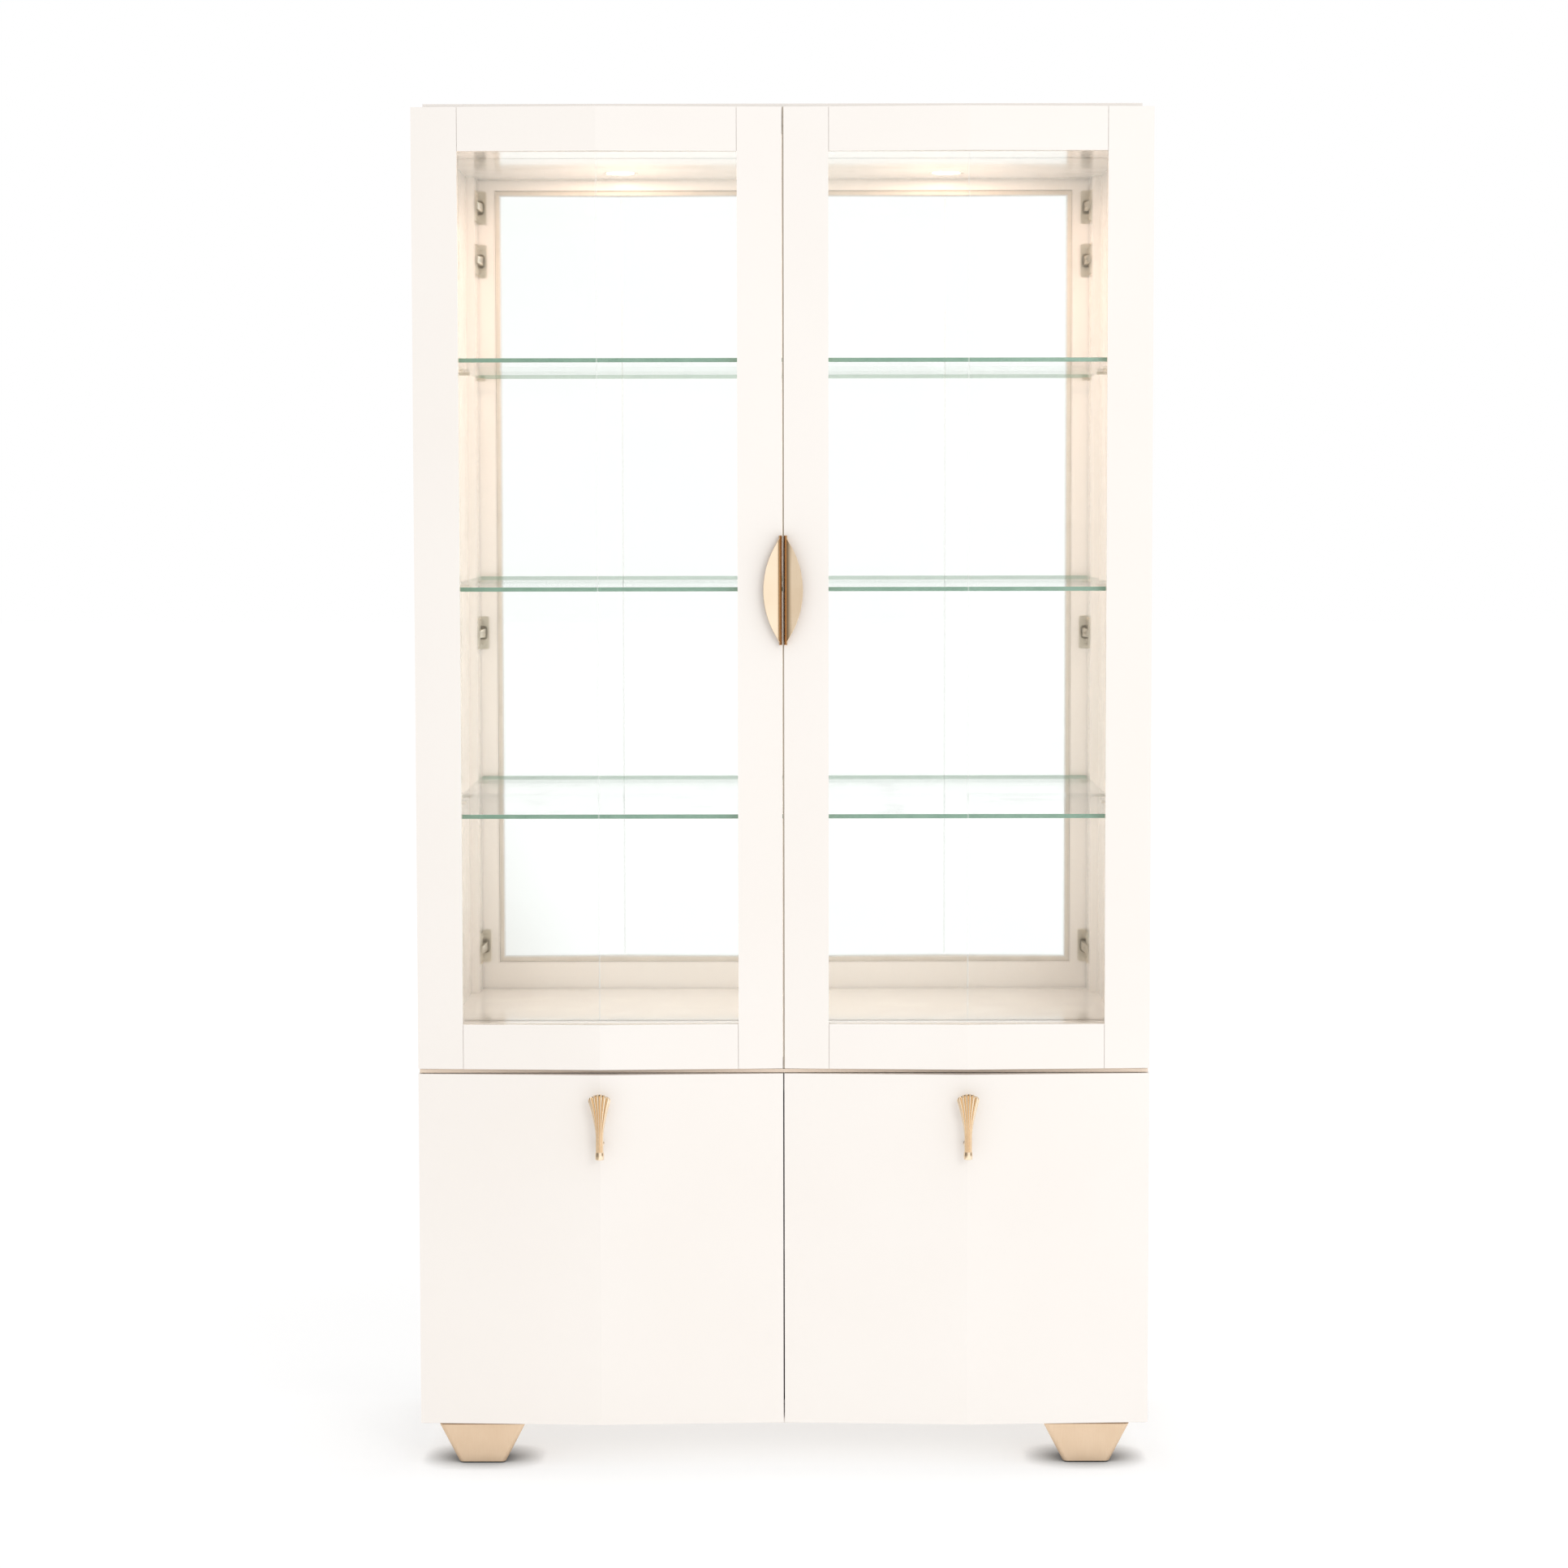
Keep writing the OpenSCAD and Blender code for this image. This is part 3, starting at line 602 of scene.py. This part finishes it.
def fan_ring(t, fan, curl):
    """One ring round the fluted fan: t runs from the cap to the crown, curl rounds the crown's edge."""
    flare = max((t - FAN_STEM_SHARE) / (1 - FAN_STEM_SHARE), 0) ** FAN_FLARE
    half = FAN_STEM_HALF + (fan["crown"] - FAN_STEM_HALF) * flare
    depth = FAN_DEPTH * (1 - FAN_THINNING * t)
    dip = FLUTE_DEPTH * 2 * half / FLUTES + 0.3 * MM
    middle = fan["front"] + depth / 2
    squeeze = math.cos(curl)
    width = half * (1 - FAN_PINCH * (1 - squeeze))
    ring = []

    def place(u, y, drop):
        z = fan["bottom"] + (fan["top"] - drop - fan["bottom"]) * t - FAN_ROUND * (1 - math.sin(curl))
        ring.append((fan["x"] + width * u, middle + (y - middle) * squeeze, z))

    for i in range(FLUTES * FLUTE_STEPS + 1):
        u = 2 * i / (FLUTES * FLUTE_STEPS) - 1
        valley = 1 - abs(math.sin(math.pi * i / FLUTE_STEPS))
        y = fan["front"] + dip * valley + FAN_ARCH * u * u
        y = min(y, middle + FAN_VALLEY_END * depth)
        place(u, y, FAN_DROOP * u * u + FLUTE_NOTCH * valley ** 1.5)
    for i in range(FAN_BACK_STEPS + 1):
        u = 1 - 2 * i / FAN_BACK_STEPS
        y = middle + depth / 2 - FAN_BACK_ROUND * u * u
        place(u * FAN_BACK_SHARE, y, FAN_DROOP * u * u + FAN_BACK_ROUND)
    return ring


def add_fan_pull(side):
    """A fluted fan on a stem with a barrel cap, held off the door's ridge by two posts."""
    node = f"{side}_fan_pull"
    low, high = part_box(node)
    x = (low[0] + high[0]) / 2
    front = low[1]
    fan = {
        "x": x, "front": front + 0.4 * MM, "crown": (high[0] - low[0]) / 2,
        "bottom": low[2] + FAN_CAP_H - 0.5 * MM, "top": high[2],
    }
    bm = bmesh.new()
    rings = [fan_ring(i / FAN_ROWS, fan, 0) for i in range(FAN_ROWS)]
    rings += [fan_ring(1, fan, math.radians(angle)) for angle in FAN_CURLS]
    loft(bm, rings)
    edge = 0.9 * MM
    corner_r = FAN_CAP_R - 0.3 * edge
    turned_z(bm, x, front + FAN_CAP_R + 0.3 * MM, (
        (low[2], FAN_CAP_R - edge), (low[2] + 0.3 * edge, corner_r), (low[2] + edge, FAN_CAP_R),
        (low[2] + FAN_CAP_H / 2, FAN_CAP_R + 0.3 * MM), (low[2] + FAN_CAP_H - edge, FAN_CAP_R),
        (low[2] + FAN_CAP_H - 0.3 * edge, corner_r), (low[2] + FAN_CAP_H, FAN_CAP_R - edge),
    ), 36)
    foot = high[1]
    for start, end in islands(f"{side}_fan_screws"):
        turned_y(bm, x, (start.z + end.z) / 2, (
            (foot, FAN_POST_FLANGE_R), (foot - 1.3 * MM, FAN_POST_FLANGE_R),
            (foot - 2.2 * MM, FAN_POST_R + 0.5 * MM), (foot - 5 * MM, FAN_POST_R),
            (front + 7 * MM, FAN_POST_R),
        ))
    name = node + "_cast"
    pull = new_object(name, finish_bmesh(bm, name, 50), f"{side}_lower_door", "gold", GOLD)
    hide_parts(node)


PULL_SCREW_R = 2 * MM
PULL_SCREW_HEAD = 2 * MM
PULL_SCREW_PITCH = 0.7 * MM
THREAD_ROOT = 0.82 * PULL_SCREW_R


def add_pull_screws(node, body):
    """Machine screws with pan heads behind the door."""
    bm = bmesh.new()
    for low, high in islands(node):
        x, z = (low.x + high.x) / 2, (low.z + high.z) / 2
        neck = high.y - PULL_SCREW_HEAD
        screw_head(bm, x, neck, z, (high.x - low.x) / 2, PULL_SCREW_HEAD)
        profile = [(low.y, PULL_SCREW_R * 0.5)]
        for i in range(int((neck - low.y) / PULL_SCREW_PITCH)):
            profile.append((low.y + PULL_SCREW_PITCH * (i + 0.25), THREAD_ROOT))
            profile.append((low.y + PULL_SCREW_PITCH * (i + 0.75), PULL_SCREW_R))
        turned_y(bm, x, z, profile + [(neck + 0.3 * MM, PULL_SCREW_R)], 16)
    screws = new_object(node + "_threaded", finish_bmesh(bm, node, 30), body, "steel", STEEL)
    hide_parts(node)


# ---------------------------------------------------------------- hinges

CUP_FLANGE_W = 31 * MM
CUP_FLANGE_T = 1.2 * MM
CUP_OPENING = 23 * MM
CUP_RIM = 4 * MM            # from the flange's inner edge to the opening
CUP_SHIFT = 4 * MM          # how far outward the cup's middle is from the opening's
CUP_SCREW_PITCH = 45 * MM
CUP_SCREW_SHIFT = 4 * MM    # how far inward the screws are from the flange's middle
CUP_SCREW_R = 3.6 * MM
CUP_PIN_R = 2 * MM
CUP_PIN_HALF = 9.5 * MM


def add_hinge_cups(node, body, side):
    """Pressed cups: a rounded flange with an opening for the arm, a pin across it, and two screws."""
    turn = SIDES[side]
    bm = bmesh.new()
    for low, high in islands(node):
        mid_z = (low.z + high.z) / 2
        tall = high.z - low.z
        door = high.y - CUP_FLANGE_T
        inner = min(abs(low.x), abs(high.x))
        flange_x = turn * (inner + CUP_FLANGE_W / 2)
        opening_x = turn * (inner + CUP_RIM + CUP_OPENING / 2)
        cup_x = opening_x + turn * CUP_SHIFT

        def ring(x, width, height, radius, y):
            return [(x + u, y, mid_z + v) for u, v in rounded_outline(width, height, radius, 5)]

        loft(bm, [
            ring(cup_x, 22 * MM, 24 * MM, 10 * MM, low.y),
            ring(cup_x, 24 * MM, 26 * MM, 11 * MM, door),
            ring(flange_x, CUP_FLANGE_W, tall, 4 * MM, door),
            ring(flange_x, CUP_FLANGE_W, tall, 4 * MM, high.y - 0.4 * MM),
            ring(flange_x, CUP_FLANGE_W - 0.8 * MM, tall - 0.8 * MM, 3.6 * MM, high.y),
            ring(opening_x, CUP_OPENING + 0.8 * MM, CUP_OPENING + 0.8 * MM, 5.4 * MM, high.y),
            ring(opening_x, CUP_OPENING, CUP_OPENING, 5 * MM, high.y - 0.4 * MM),
            ring(cup_x, 21 * MM, 23 * MM, 9.5 * MM, door - 0.6 * MM),
            ring(cup_x, 20 * MM, 22 * MM, 9 * MM, low.y + 1.5 * MM),
        ])
        screw_x = flange_x - turn * CUP_SCREW_SHIFT
        for step in (-0.5, 0.5):
            screw_head(bm, screw_x, high.y, mid_z + step * CUP_SCREW_PITCH, CUP_SCREW_R, 0.8 * MM)
        turned_z(bm, cup_x + turn * 3 * MM, door - 4.5 * MM, (
            (mid_z - CUP_PIN_HALF, CUP_PIN_R), (mid_z + CUP_PIN_HALF, CUP_PIN_R),
        ), 16)
    cups = new_object(node + "_pressed", finish_bmesh(bm, node, 35), body, "steel", STEEL)
    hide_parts(node)


def hinge_side(low, high):
    """Which side a box on the carcass is on, +1 or -1, and how far out its wall and room faces are."""
    turn = 1 if low.x > 0 else -1
    return turn, max(abs(low.x), abs(high.x)), min(abs(low.x), abs(high.x))


# Along the arm: distance from its nose, share of its depth cut away on the room side, and height
ARM_NOSE = ((0, 0.14, 14.6 * MM), (1 * MM, 0.03, 16 * MM), (16 * MM, 0.03, 16 * MM))
ARM_NECK = ((24 * MM, 0.25, 14.5 * MM), (34 * MM, 0.32, 13.5 * MM))
# The same at the tail, with the distance from the tail's end
ARM_TAIL = ((3 * MM, 0.45, 13.5 * MM), (0, 0.62, 12 * MM))
ARM_SCREWS = ((18 * MM, 2.6 * MM), (42 * MM, 3.2 * MM))


def add_hinge_arms():
    """Arms on their mounting plates, each with two adjusting screws."""
    bm = bmesh.new()
    for low, high in islands("hinge_arms"):
        turn, wall, room = hinge_side(low, high)
        deep = wall - room
        mid_z = (low.z + high.z) / 2
        rows = [(low.y + run, cut, height) for run, cut, height in ARM_NOSE + ARM_NECK]
        rows += [(high.y - run, cut, height) for run, cut, height in ARM_TAIL]
        rings = []
        for y, cut, height in rows:
            inner = room + deep * cut
            middle_x = turn * (inner + wall) / 2
            outline = rounded_outline(wall - inner, height, 1.4 * MM, 3)
            rings.append([(middle_x + u, y, mid_z + v) for u, v in outline])
        loft(bm, rings)
        seat = turn * (room + deep * 0.25)
        for run, r in ARM_SCREWS:
            turned_x(bm, low.y + run, mid_z, (
                (seat + turn * MM, r), (seat - turn * 0.8 * MM, r), (seat - turn * 1.3 * MM, r * 0.7),
            ))
    mesh = finish_bmesh(bm, "hinge_arms", 35)
    arms = new_object("hinge_arms_pressed", mesh, "cabinet", "steel", STEEL)
    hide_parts("hinge_arms")


def add_hinge_plates():
    """Winged mounting plates on the packing stiles, each with two screws."""
    plate_r = 5 * MM
    screw_inset = 8 * MM
    bm = bmesh.new()
    for low, high in islands("hinge_plates"):
        turn, wall, room = hinge_side(low, high)
        mid_y = (low.y + high.y) / 2
        mid_z = (low.z + high.z) / 2
        rings = []
        for x, inset in ((wall, 0), (room + 0.6 * MM, 0), (room, 0.6 * MM)):
            width = high.y - low.y - 2 * inset
            outline = rounded_outline(width, high.z - low.z - 2 * inset, plate_r - inset, 5)
            rings.append([(turn * x, mid_y + u, mid_z + v) for u, v in outline])
        loft(bm, rings)
        for z in (low.z + screw_inset, high.z - screw_inset):
            turned_x(bm, mid_y, z, (
                (turn * (room + 0.5 * MM), 3.6 * MM), (turn * (room - 0.5 * MM), 3.4 * MM),
                (turn * (room - 1.2 * MM), 2.4 * MM),
            ))
    mesh = finish_bmesh(bm, "hinge_plates", 35)
    plates = new_object("hinge_plates_pressed", mesh, "cabinet", "steel", STEEL)
    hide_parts("hinge_plates")


# ---------------------------------------------------------------- small hardware


def add_back_screws():
    """Pan head screws with cross recesses, along the back panels."""
    bm = bmesh.new()
    for low, high in islands("back_panel_screws"):
        x, z = (low.x + high.x) / 2, (low.z + high.z) / 2
        screw_head(bm, x, low.y, z, (high.x - low.x) / 2, high.y - low.y)
    mesh = finish_bmesh(bm, "back_panel_screws", 30)
    screws = new_object("back_panel_screw_heads", mesh, "cabinet", "steel", STEEL)
    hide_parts("back_panel_screws")


def add_bumpers():
    """Domed soft pads where the doors land."""
    steps = 6
    rim = 0.3           # share of a pad's height that is straight
    bm = bmesh.new()
    for low, high in islands("door_bumpers"):
        r = (high.x - low.x) / 2
        deep = high.y - low.y
        profile = [(high.y, r), (high.y - rim * deep, r)]
        for i in range(1, steps + 1):
            a = math.pi / 2 * i / steps
            y = high.y - (rim + (1 - rim) * math.sin(a)) * deep
            profile.append((y, max(r * math.cos(a), 0.06 * r)))
        turned_y(bm, (low.x + high.x) / 2, (low.z + high.z) / 2, profile)
    mesh = finish_bmesh(bm, "door_bumpers", 60)
    pads = new_object("door_bumper_domes", mesh, "cabinet", "rubber", PAD)
    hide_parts("door_bumpers")


def add_lenses():
    """Puck light diffusers with fine concentric steps."""
    steps = 9
    bm = bmesh.new()
    for low, high in islands("puck_light_lenses"):
        r = (high.x - low.x) / 2
        profile = [(high.z, r)]
        for i in range(steps):
            outer = r * (1 - i / steps)
            inner = r * (1 - (i + 1) / steps)
            profile.append((low.z + 0.5 * MM, outer))
            profile.append((low.z, max(inner, 0.4 * MM) + 0.3 * (outer - inner)))
        turned_z(bm, (low.x + high.x) / 2, (low.y + high.y) / 2, profile, 48)
    mesh = finish_bmesh(bm, "puck_light_lenses", 50)
    lenses = new_object("puck_light_diffusers", mesh, "cabinet", "lens", LENS)
    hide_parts("puck_light_lenses")


def add_grommet():
    """A lipped cable grommet in the cupboard's back."""
    low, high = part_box("cable_grommet")
    x, z = (low[0] + high[0]) / 2, (low[2] + high[2]) / 2
    flange = (high[0] - low[0]) / 2
    bore = 16 * MM
    sleeve = 20 * MM
    seat = high[1] - 2 * MM
    section = (
        (low[1], bore + 0.6 * MM), (low[1], sleeve - 0.6 * MM), (low[1] + 0.6 * MM, sleeve), (seat, sleeve),
        (seat, flange), (seat + 0.8 * MM, flange), (high[1] - 0.3 * MM, flange - 0.9 * MM),
        (high[1], flange - 2.2 * MM), (high[1], bore + 1.6 * MM), (high[1] - 0.5 * MM, bore + 0.4 * MM),
        (high[1] - 1.6 * MM, bore), (low[1] + 0.6 * MM, bore),
    )
    directions = circle(48)
    directions.append(directions[0])
    bm = bmesh.new()
    loft(bm, [[(x + r * u, y, z + r * v) for y, r in section] for u, v in directions], caps=False)
    mesh = finish_bmesh(bm, "cable_grommet", 35)
    grommet = new_object("cable_grommet_ring", mesh, "cabinet", "rubber", RUBBER)
    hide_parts("cable_grommet")


dress_cad_nodes()
for shelf_node in ("upper_glass_shelf", "middle_glass_shelf", "lower_glass_shelf"):
    add_shelf(shelf_node)
for door_side in SIDES:
    add_ridge_joint(door_side)
    add_leaf_pull(door_side)
    add_fan_pull(door_side)
    add_pull_screws(f"{door_side}_leaf_screws", f"{door_side}_upper_door")
    add_pull_screws(f"{door_side}_fan_screws", f"{door_side}_lower_door")
    add_hinge_cups(f"{door_side}_upper_hinge_cups", f"{door_side}_upper_door", door_side)
    add_hinge_cups(f"{door_side}_lower_hinge_cups", f"{door_side}_lower_door", door_side)
add_hinge_arms()
add_hinge_plates()
add_back_screws()
add_bumpers()
add_lenses()
add_grommet()

# ---------------------------------------------------------------- camera and light

# The view is fixed in metres in front of the doors' flat faces, with angles in degrees
DOOR_T = 22 * MM
CAMERA_X = 0.0103
CAMERA_DISTANCE = 5.9305
CAMERA_HEIGHT = 1.4921
CAMERA_PITCH = 4.226
CAMERA_YAW = -0.090
CAMERA_ROLL = 0.085
CAMERA_LENS = 89.59


def add_camera():
    """Looks at the doors from a little above their middle."""
    face_y = corner("left_lower_door", True, 1) - DOOR_T
    data = bpy.data.cameras.new("camera")
    data.lens = CAMERA_LENS
    data.sensor_width = 36
    data.clip_end = 100
    obj = bpy.data.objects.new("camera", data)
    bpy.context.scene.collection.objects.link(obj)
    turn = (
        Matrix.Rotation(math.radians(-CAMERA_YAW), 4, "Z")
        @ Matrix.Rotation(math.radians(90 - CAMERA_PITCH), 4, "X")
        @ Matrix.Rotation(math.radians(-CAMERA_ROLL), 4, "Z")
    )
    obj.matrix_world = Matrix.Translation((CAMERA_X, face_y - CAMERA_DISTANCE, CAMERA_HEIGHT)) @ turn
    bpy.context.scene.camera = obj


WORLD_POWER = 1.095
BEHIND = 0.85               # brightness behind the cabinet
# Brightness round the room, from the left wall (x = -1) over the front to the right wall (x = 1)
SOFT_ROOM = (
    (-1.0, (0.60, 0.60, 0.60)), (-0.3, (0.76, 0.76, 0.76)), (-0.1, (1.0, 1.0, 1.0)),
    (0.45, (1.0, 1.0, 1.0)), (1.0, (0.66, 0.66, 0.66)),
)
# The same as polished surfaces see it
SHARP_ROOM = (
    (-1.0, (0.20, 0.18, 0.16)), (-0.6, (0.36, 0.33, 0.29)), (-0.24, (0.60, 0.55, 0.49)),
    (-0.11, (1.0, 1.0, 1.0)), (0.78, (1.0, 1.0, 1.0)),
    (0.90, (0.42, 0.35, 0.27)), (1.0, (0.24, 0.19, 0.14)),
)


def room_colour(tree, across, stops):
    """Colour by direction across the room."""
    curve = tree.nodes.new("ShaderNodeValToRGB")
    for x, colour in stops[1:-1]:
        curve.color_ramp.elements.new((x + 1) / 2)
    for element, (x, colour) in zip(curve.color_ramp.elements, stops):
        element.position = (x + 1) / 2
        element.color = (*colour, 1)
    tree.links.new(across, curve.inputs["Fac"])
    return curve.outputs["Color"]


def add_world():
    """White studio air: a bright window in front, dimmer walls at both sides and plain white behind."""
    world = bpy.data.worlds.new("studio")
    bpy.context.scene.world = world
    world.use_nodes = True
    world.cycles.sampling_method = "NONE"
    tree = world.node_tree
    coords = tree.nodes.new("ShaderNodeTexCoord")
    axes = tree.nodes.new("ShaderNodeSeparateXYZ")
    tree.links.new(coords.outputs["Generated"], axes.inputs["Vector"])
    across = tree.nodes.new("ShaderNodeMapRange")
    across.inputs["From Min"].default_value = -1
    tree.links.new(axes.outputs["X"], across.inputs["Value"])
    path = tree.nodes.new("ShaderNodeLightPath")
    glossy, soft, sharp, room = mix_sockets(tree.nodes.new("ShaderNodeMix"))
    tree.links.new(path.outputs["Is Glossy Ray"], glossy)
    tree.links.new(room_colour(tree, across.outputs["Result"], SOFT_ROOM), soft)
    tree.links.new(room_colour(tree, across.outputs["Result"], SHARP_ROOM), sharp)
    behind = tree.nodes.new("ShaderNodeMapRange")
    behind.inputs["From Min"].default_value = 0.0
    behind.inputs["From Max"].default_value = 0.3
    tree.links.new(axes.outputs["Y"], behind.inputs["Value"])
    back, front, rear, level = mix_sockets(tree.nodes.new("ShaderNodeMix"))
    tree.links.new(behind.outputs["Result"], back)
    tree.links.new(room, front)
    rear.default_value = (BEHIND, BEHIND, BEHIND, 1)
    background = next(n for n in tree.nodes if n.type == "BACKGROUND")
    background.inputs["Strength"].default_value = WORLD_POWER
    tree.links.new(level, background.inputs["Color"])
    white = tree.nodes.new("ShaderNodeBackground")
    white.inputs["Color"].default_value = (1, 1, 1, 1)
    white.inputs["Strength"].default_value = 1.0
    mix = tree.nodes.new("ShaderNodeMixShader")
    tree.links.new(path.outputs["Is Camera Ray"], mix.inputs[0])
    tree.links.new(background.outputs["Background"], mix.inputs[1])
    tree.links.new(white.outputs["Background"], mix.inputs[2])
    output = next(n for n in tree.nodes if n.type == "OUTPUT_WORLD")
    tree.links.new(mix.outputs["Shader"], output.inputs["Surface"])


def add_area(name, place, target, size, power, colour=(1, 1, 1)):
    """A soft rectangular light that faces a target."""
    data = bpy.data.lights.new(name, "AREA")
    data.shape = "RECTANGLE"
    data.size, data.size_y = size
    data.energy = power
    data.color = colour
    obj = bpy.data.objects.new(name, data)
    bpy.context.scene.collection.objects.link(obj)
    direction = Vector(target) - Vector(place)
    obj.matrix_world = Matrix.Translation(place) @ direction.to_track_quat("-Z", "Y").to_matrix().to_4x4()
    obj.visible_glossy = False
    return obj


PUCK_R = 24 * MM
PUCK_POWER = 1.2
PUCK_COLOUR = (1.0, 0.67, 0.52)


def add_pucks():
    """The light that the two pucks throw down into the display."""
    low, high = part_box("puck_light_lenses")
    y = (low[1] + high[1]) / 2
    for x in (low[0] + PUCK_R, high[0] - PUCK_R):
        data = bpy.data.lights.new("puck", "AREA")
        data.shape = "DISK"
        data.size = 2 * PUCK_R
        data.energy = PUCK_POWER
        data.color = PUCK_COLOUR
        obj = bpy.data.objects.new("puck", data)
        bpy.context.scene.collection.objects.link(obj)
        obj.location = (x, y, low[2] - 1 * MM)
        obj.visible_glossy = False
        obj.visible_camera = False


FLOOR_HALF = 40.0
FLOOR_GLOW = 0.45           # light that the floor gives off itself
FLOOR_TONE = 0.62           # share of the light on it that it gives back
FLOOR_SHEEN = 1.08          # how bright polished metal sees it
FAR_FLOOR = 4.0             # beyond this distance the floor follows the room's brightness in full
# Reach and strength of the painted contact shadow that ambient occlusion puts into the floor's glow and
# colour near the feet
CONTACT_REACH = 0.055
CONTACT_DEPTH = 1.3


def add_floor():
    """A wide pale floor with a painted contact shadow at the feet, where ambient occlusion darkens its own
    glow, and that polished metal sees as it sees the room.
    """
    material, tree, bsdf = shader("floor_pale", Roughness=0.9)
    bsdf.inputs["Specular IOR Level"].default_value = 0
    bsdf.inputs["Emission Strength"].default_value = FLOOR_GLOW
    coords = tree.nodes.new("ShaderNodeTexCoord")
    length = tree.nodes.new("ShaderNodeVectorMath")
    length.operation = "LENGTH"
    tree.links.new(coords.outputs["Object"], length.inputs[0])
    away = tree.nodes.new("ShaderNodeMath")
    away.operation = "MAXIMUM"
    tree.links.new(length.outputs["Value"], away.inputs[0])
    away.inputs[1].default_value = FAR_FLOOR
    axes = tree.nodes.new("ShaderNodeSeparateXYZ")
    tree.links.new(coords.outputs["Object"], axes.inputs["Vector"])
    side = tree.nodes.new("ShaderNodeMath")
    side.operation = "DIVIDE"
    tree.links.new(axes.outputs["X"], side.inputs[0])
    tree.links.new(away.outputs["Value"], side.inputs[1])
    across = tree.nodes.new("ShaderNodeMapRange")
    across.inputs["From Min"].default_value = -1
    tree.links.new(side.outputs["Value"], across.inputs["Value"])
    path = tree.nodes.new("ShaderNodeLightPath")
    glossy, near, far, tint = mix_sockets(tree.nodes.new("ShaderNodeMix"))
    tree.links.new(path.outputs["Is Glossy Ray"], glossy)
    tree.links.new(ramp(tree, noise_node(tree, 1.5, 2.0), (0.985, 0.985, 0.985), (1, 1, 1)), near)
    lit = tree.nodes.new("ShaderNodeVectorMath")
    lit.operation = "SCALE"
    lit.inputs["Scale"].default_value = FLOOR_SHEEN
    tree.links.new(room_colour(tree, across.outputs["Result"], SHARP_ROOM), lit.inputs[0])
    tree.links.new(lit.outputs["Vector"], far)
    painted_contact_shadow = tree.nodes.new("ShaderNodeAmbientOcclusion")
    painted_contact_shadow.samples = 8
    painted_contact_shadow.inputs["Distance"].default_value = CONTACT_REACH
    deepen = tree.nodes.new("ShaderNodeMath")
    deepen.operation = "POWER"
    tree.links.new(painted_contact_shadow.outputs["AO"], deepen.inputs[0])
    deepen.inputs[1].default_value = CONTACT_DEPTH
    shaded = tree.nodes.new("ShaderNodeVectorMath")
    shaded.operation = "SCALE"
    tree.links.new(tint, shaded.inputs[0])
    tree.links.new(deepen.outputs["Value"], shaded.inputs["Scale"])
    tree.links.new(shaded.outputs["Vector"], bsdf.inputs["Emission Color"])
    tone = tree.nodes.new("ShaderNodeVectorMath")
    tone.operation = "SCALE"
    tone.inputs["Scale"].default_value = FLOOR_TONE
    tree.links.new(shaded.outputs["Vector"], tone.inputs[0])
    tree.links.new(tone.outputs["Vector"], bsdf.inputs["Base Color"])
    bm = bmesh.new()
    corners = ((-1, -1), (1, -1), (1, 1), (-1, 1))
    bm.faces.new([bm.verts.new((u * FLOOR_HALF, v * FLOOR_HALF, 0)) for u, v in corners])
    mesh = bpy.data.meshes.new("floor")
    bm.to_mesh(mesh)
    bm.free()
    obj = bpy.data.objects.new("floor", mesh)
    bpy.context.scene.collection.objects.link(obj)
    obj.data.materials.append(material)


KEY_PLACE = (1.8, -4.5, 2.2)
KEY_TARGET = (0, 0, 1.0)
KEY_SIZE = (1.6, 1.6)
KEY_POWER = 30
FILL_GAP = 6 * MM           # from the mirror's face to the light
FILL_SIZE = (1.0, 1.35)
FILL_POWER = 4.3
FILL_COLOUR = (1.0, 0.965, 0.935)


def add_mirror_fill():
    """The soft light that the mirror throws forward onto the doors' backs."""
    low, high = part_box("mirror")
    place = (0, low[1] - FILL_GAP, (low[2] + high[2]) / 2)
    fill = add_area("mirror_fill", place, (0, -1, place[2]), FILL_SIZE, FILL_POWER, FILL_COLOUR)
    fill.visible_camera = False
    fill.visible_transmission = False


add_camera()
add_world()
add_floor()
add_pucks()
add_area("key", KEY_PLACE, KEY_TARGET, KEY_SIZE, KEY_POWER)
add_mirror_fill()
bpy.context.scene.view_settings.view_transform = "Standard"
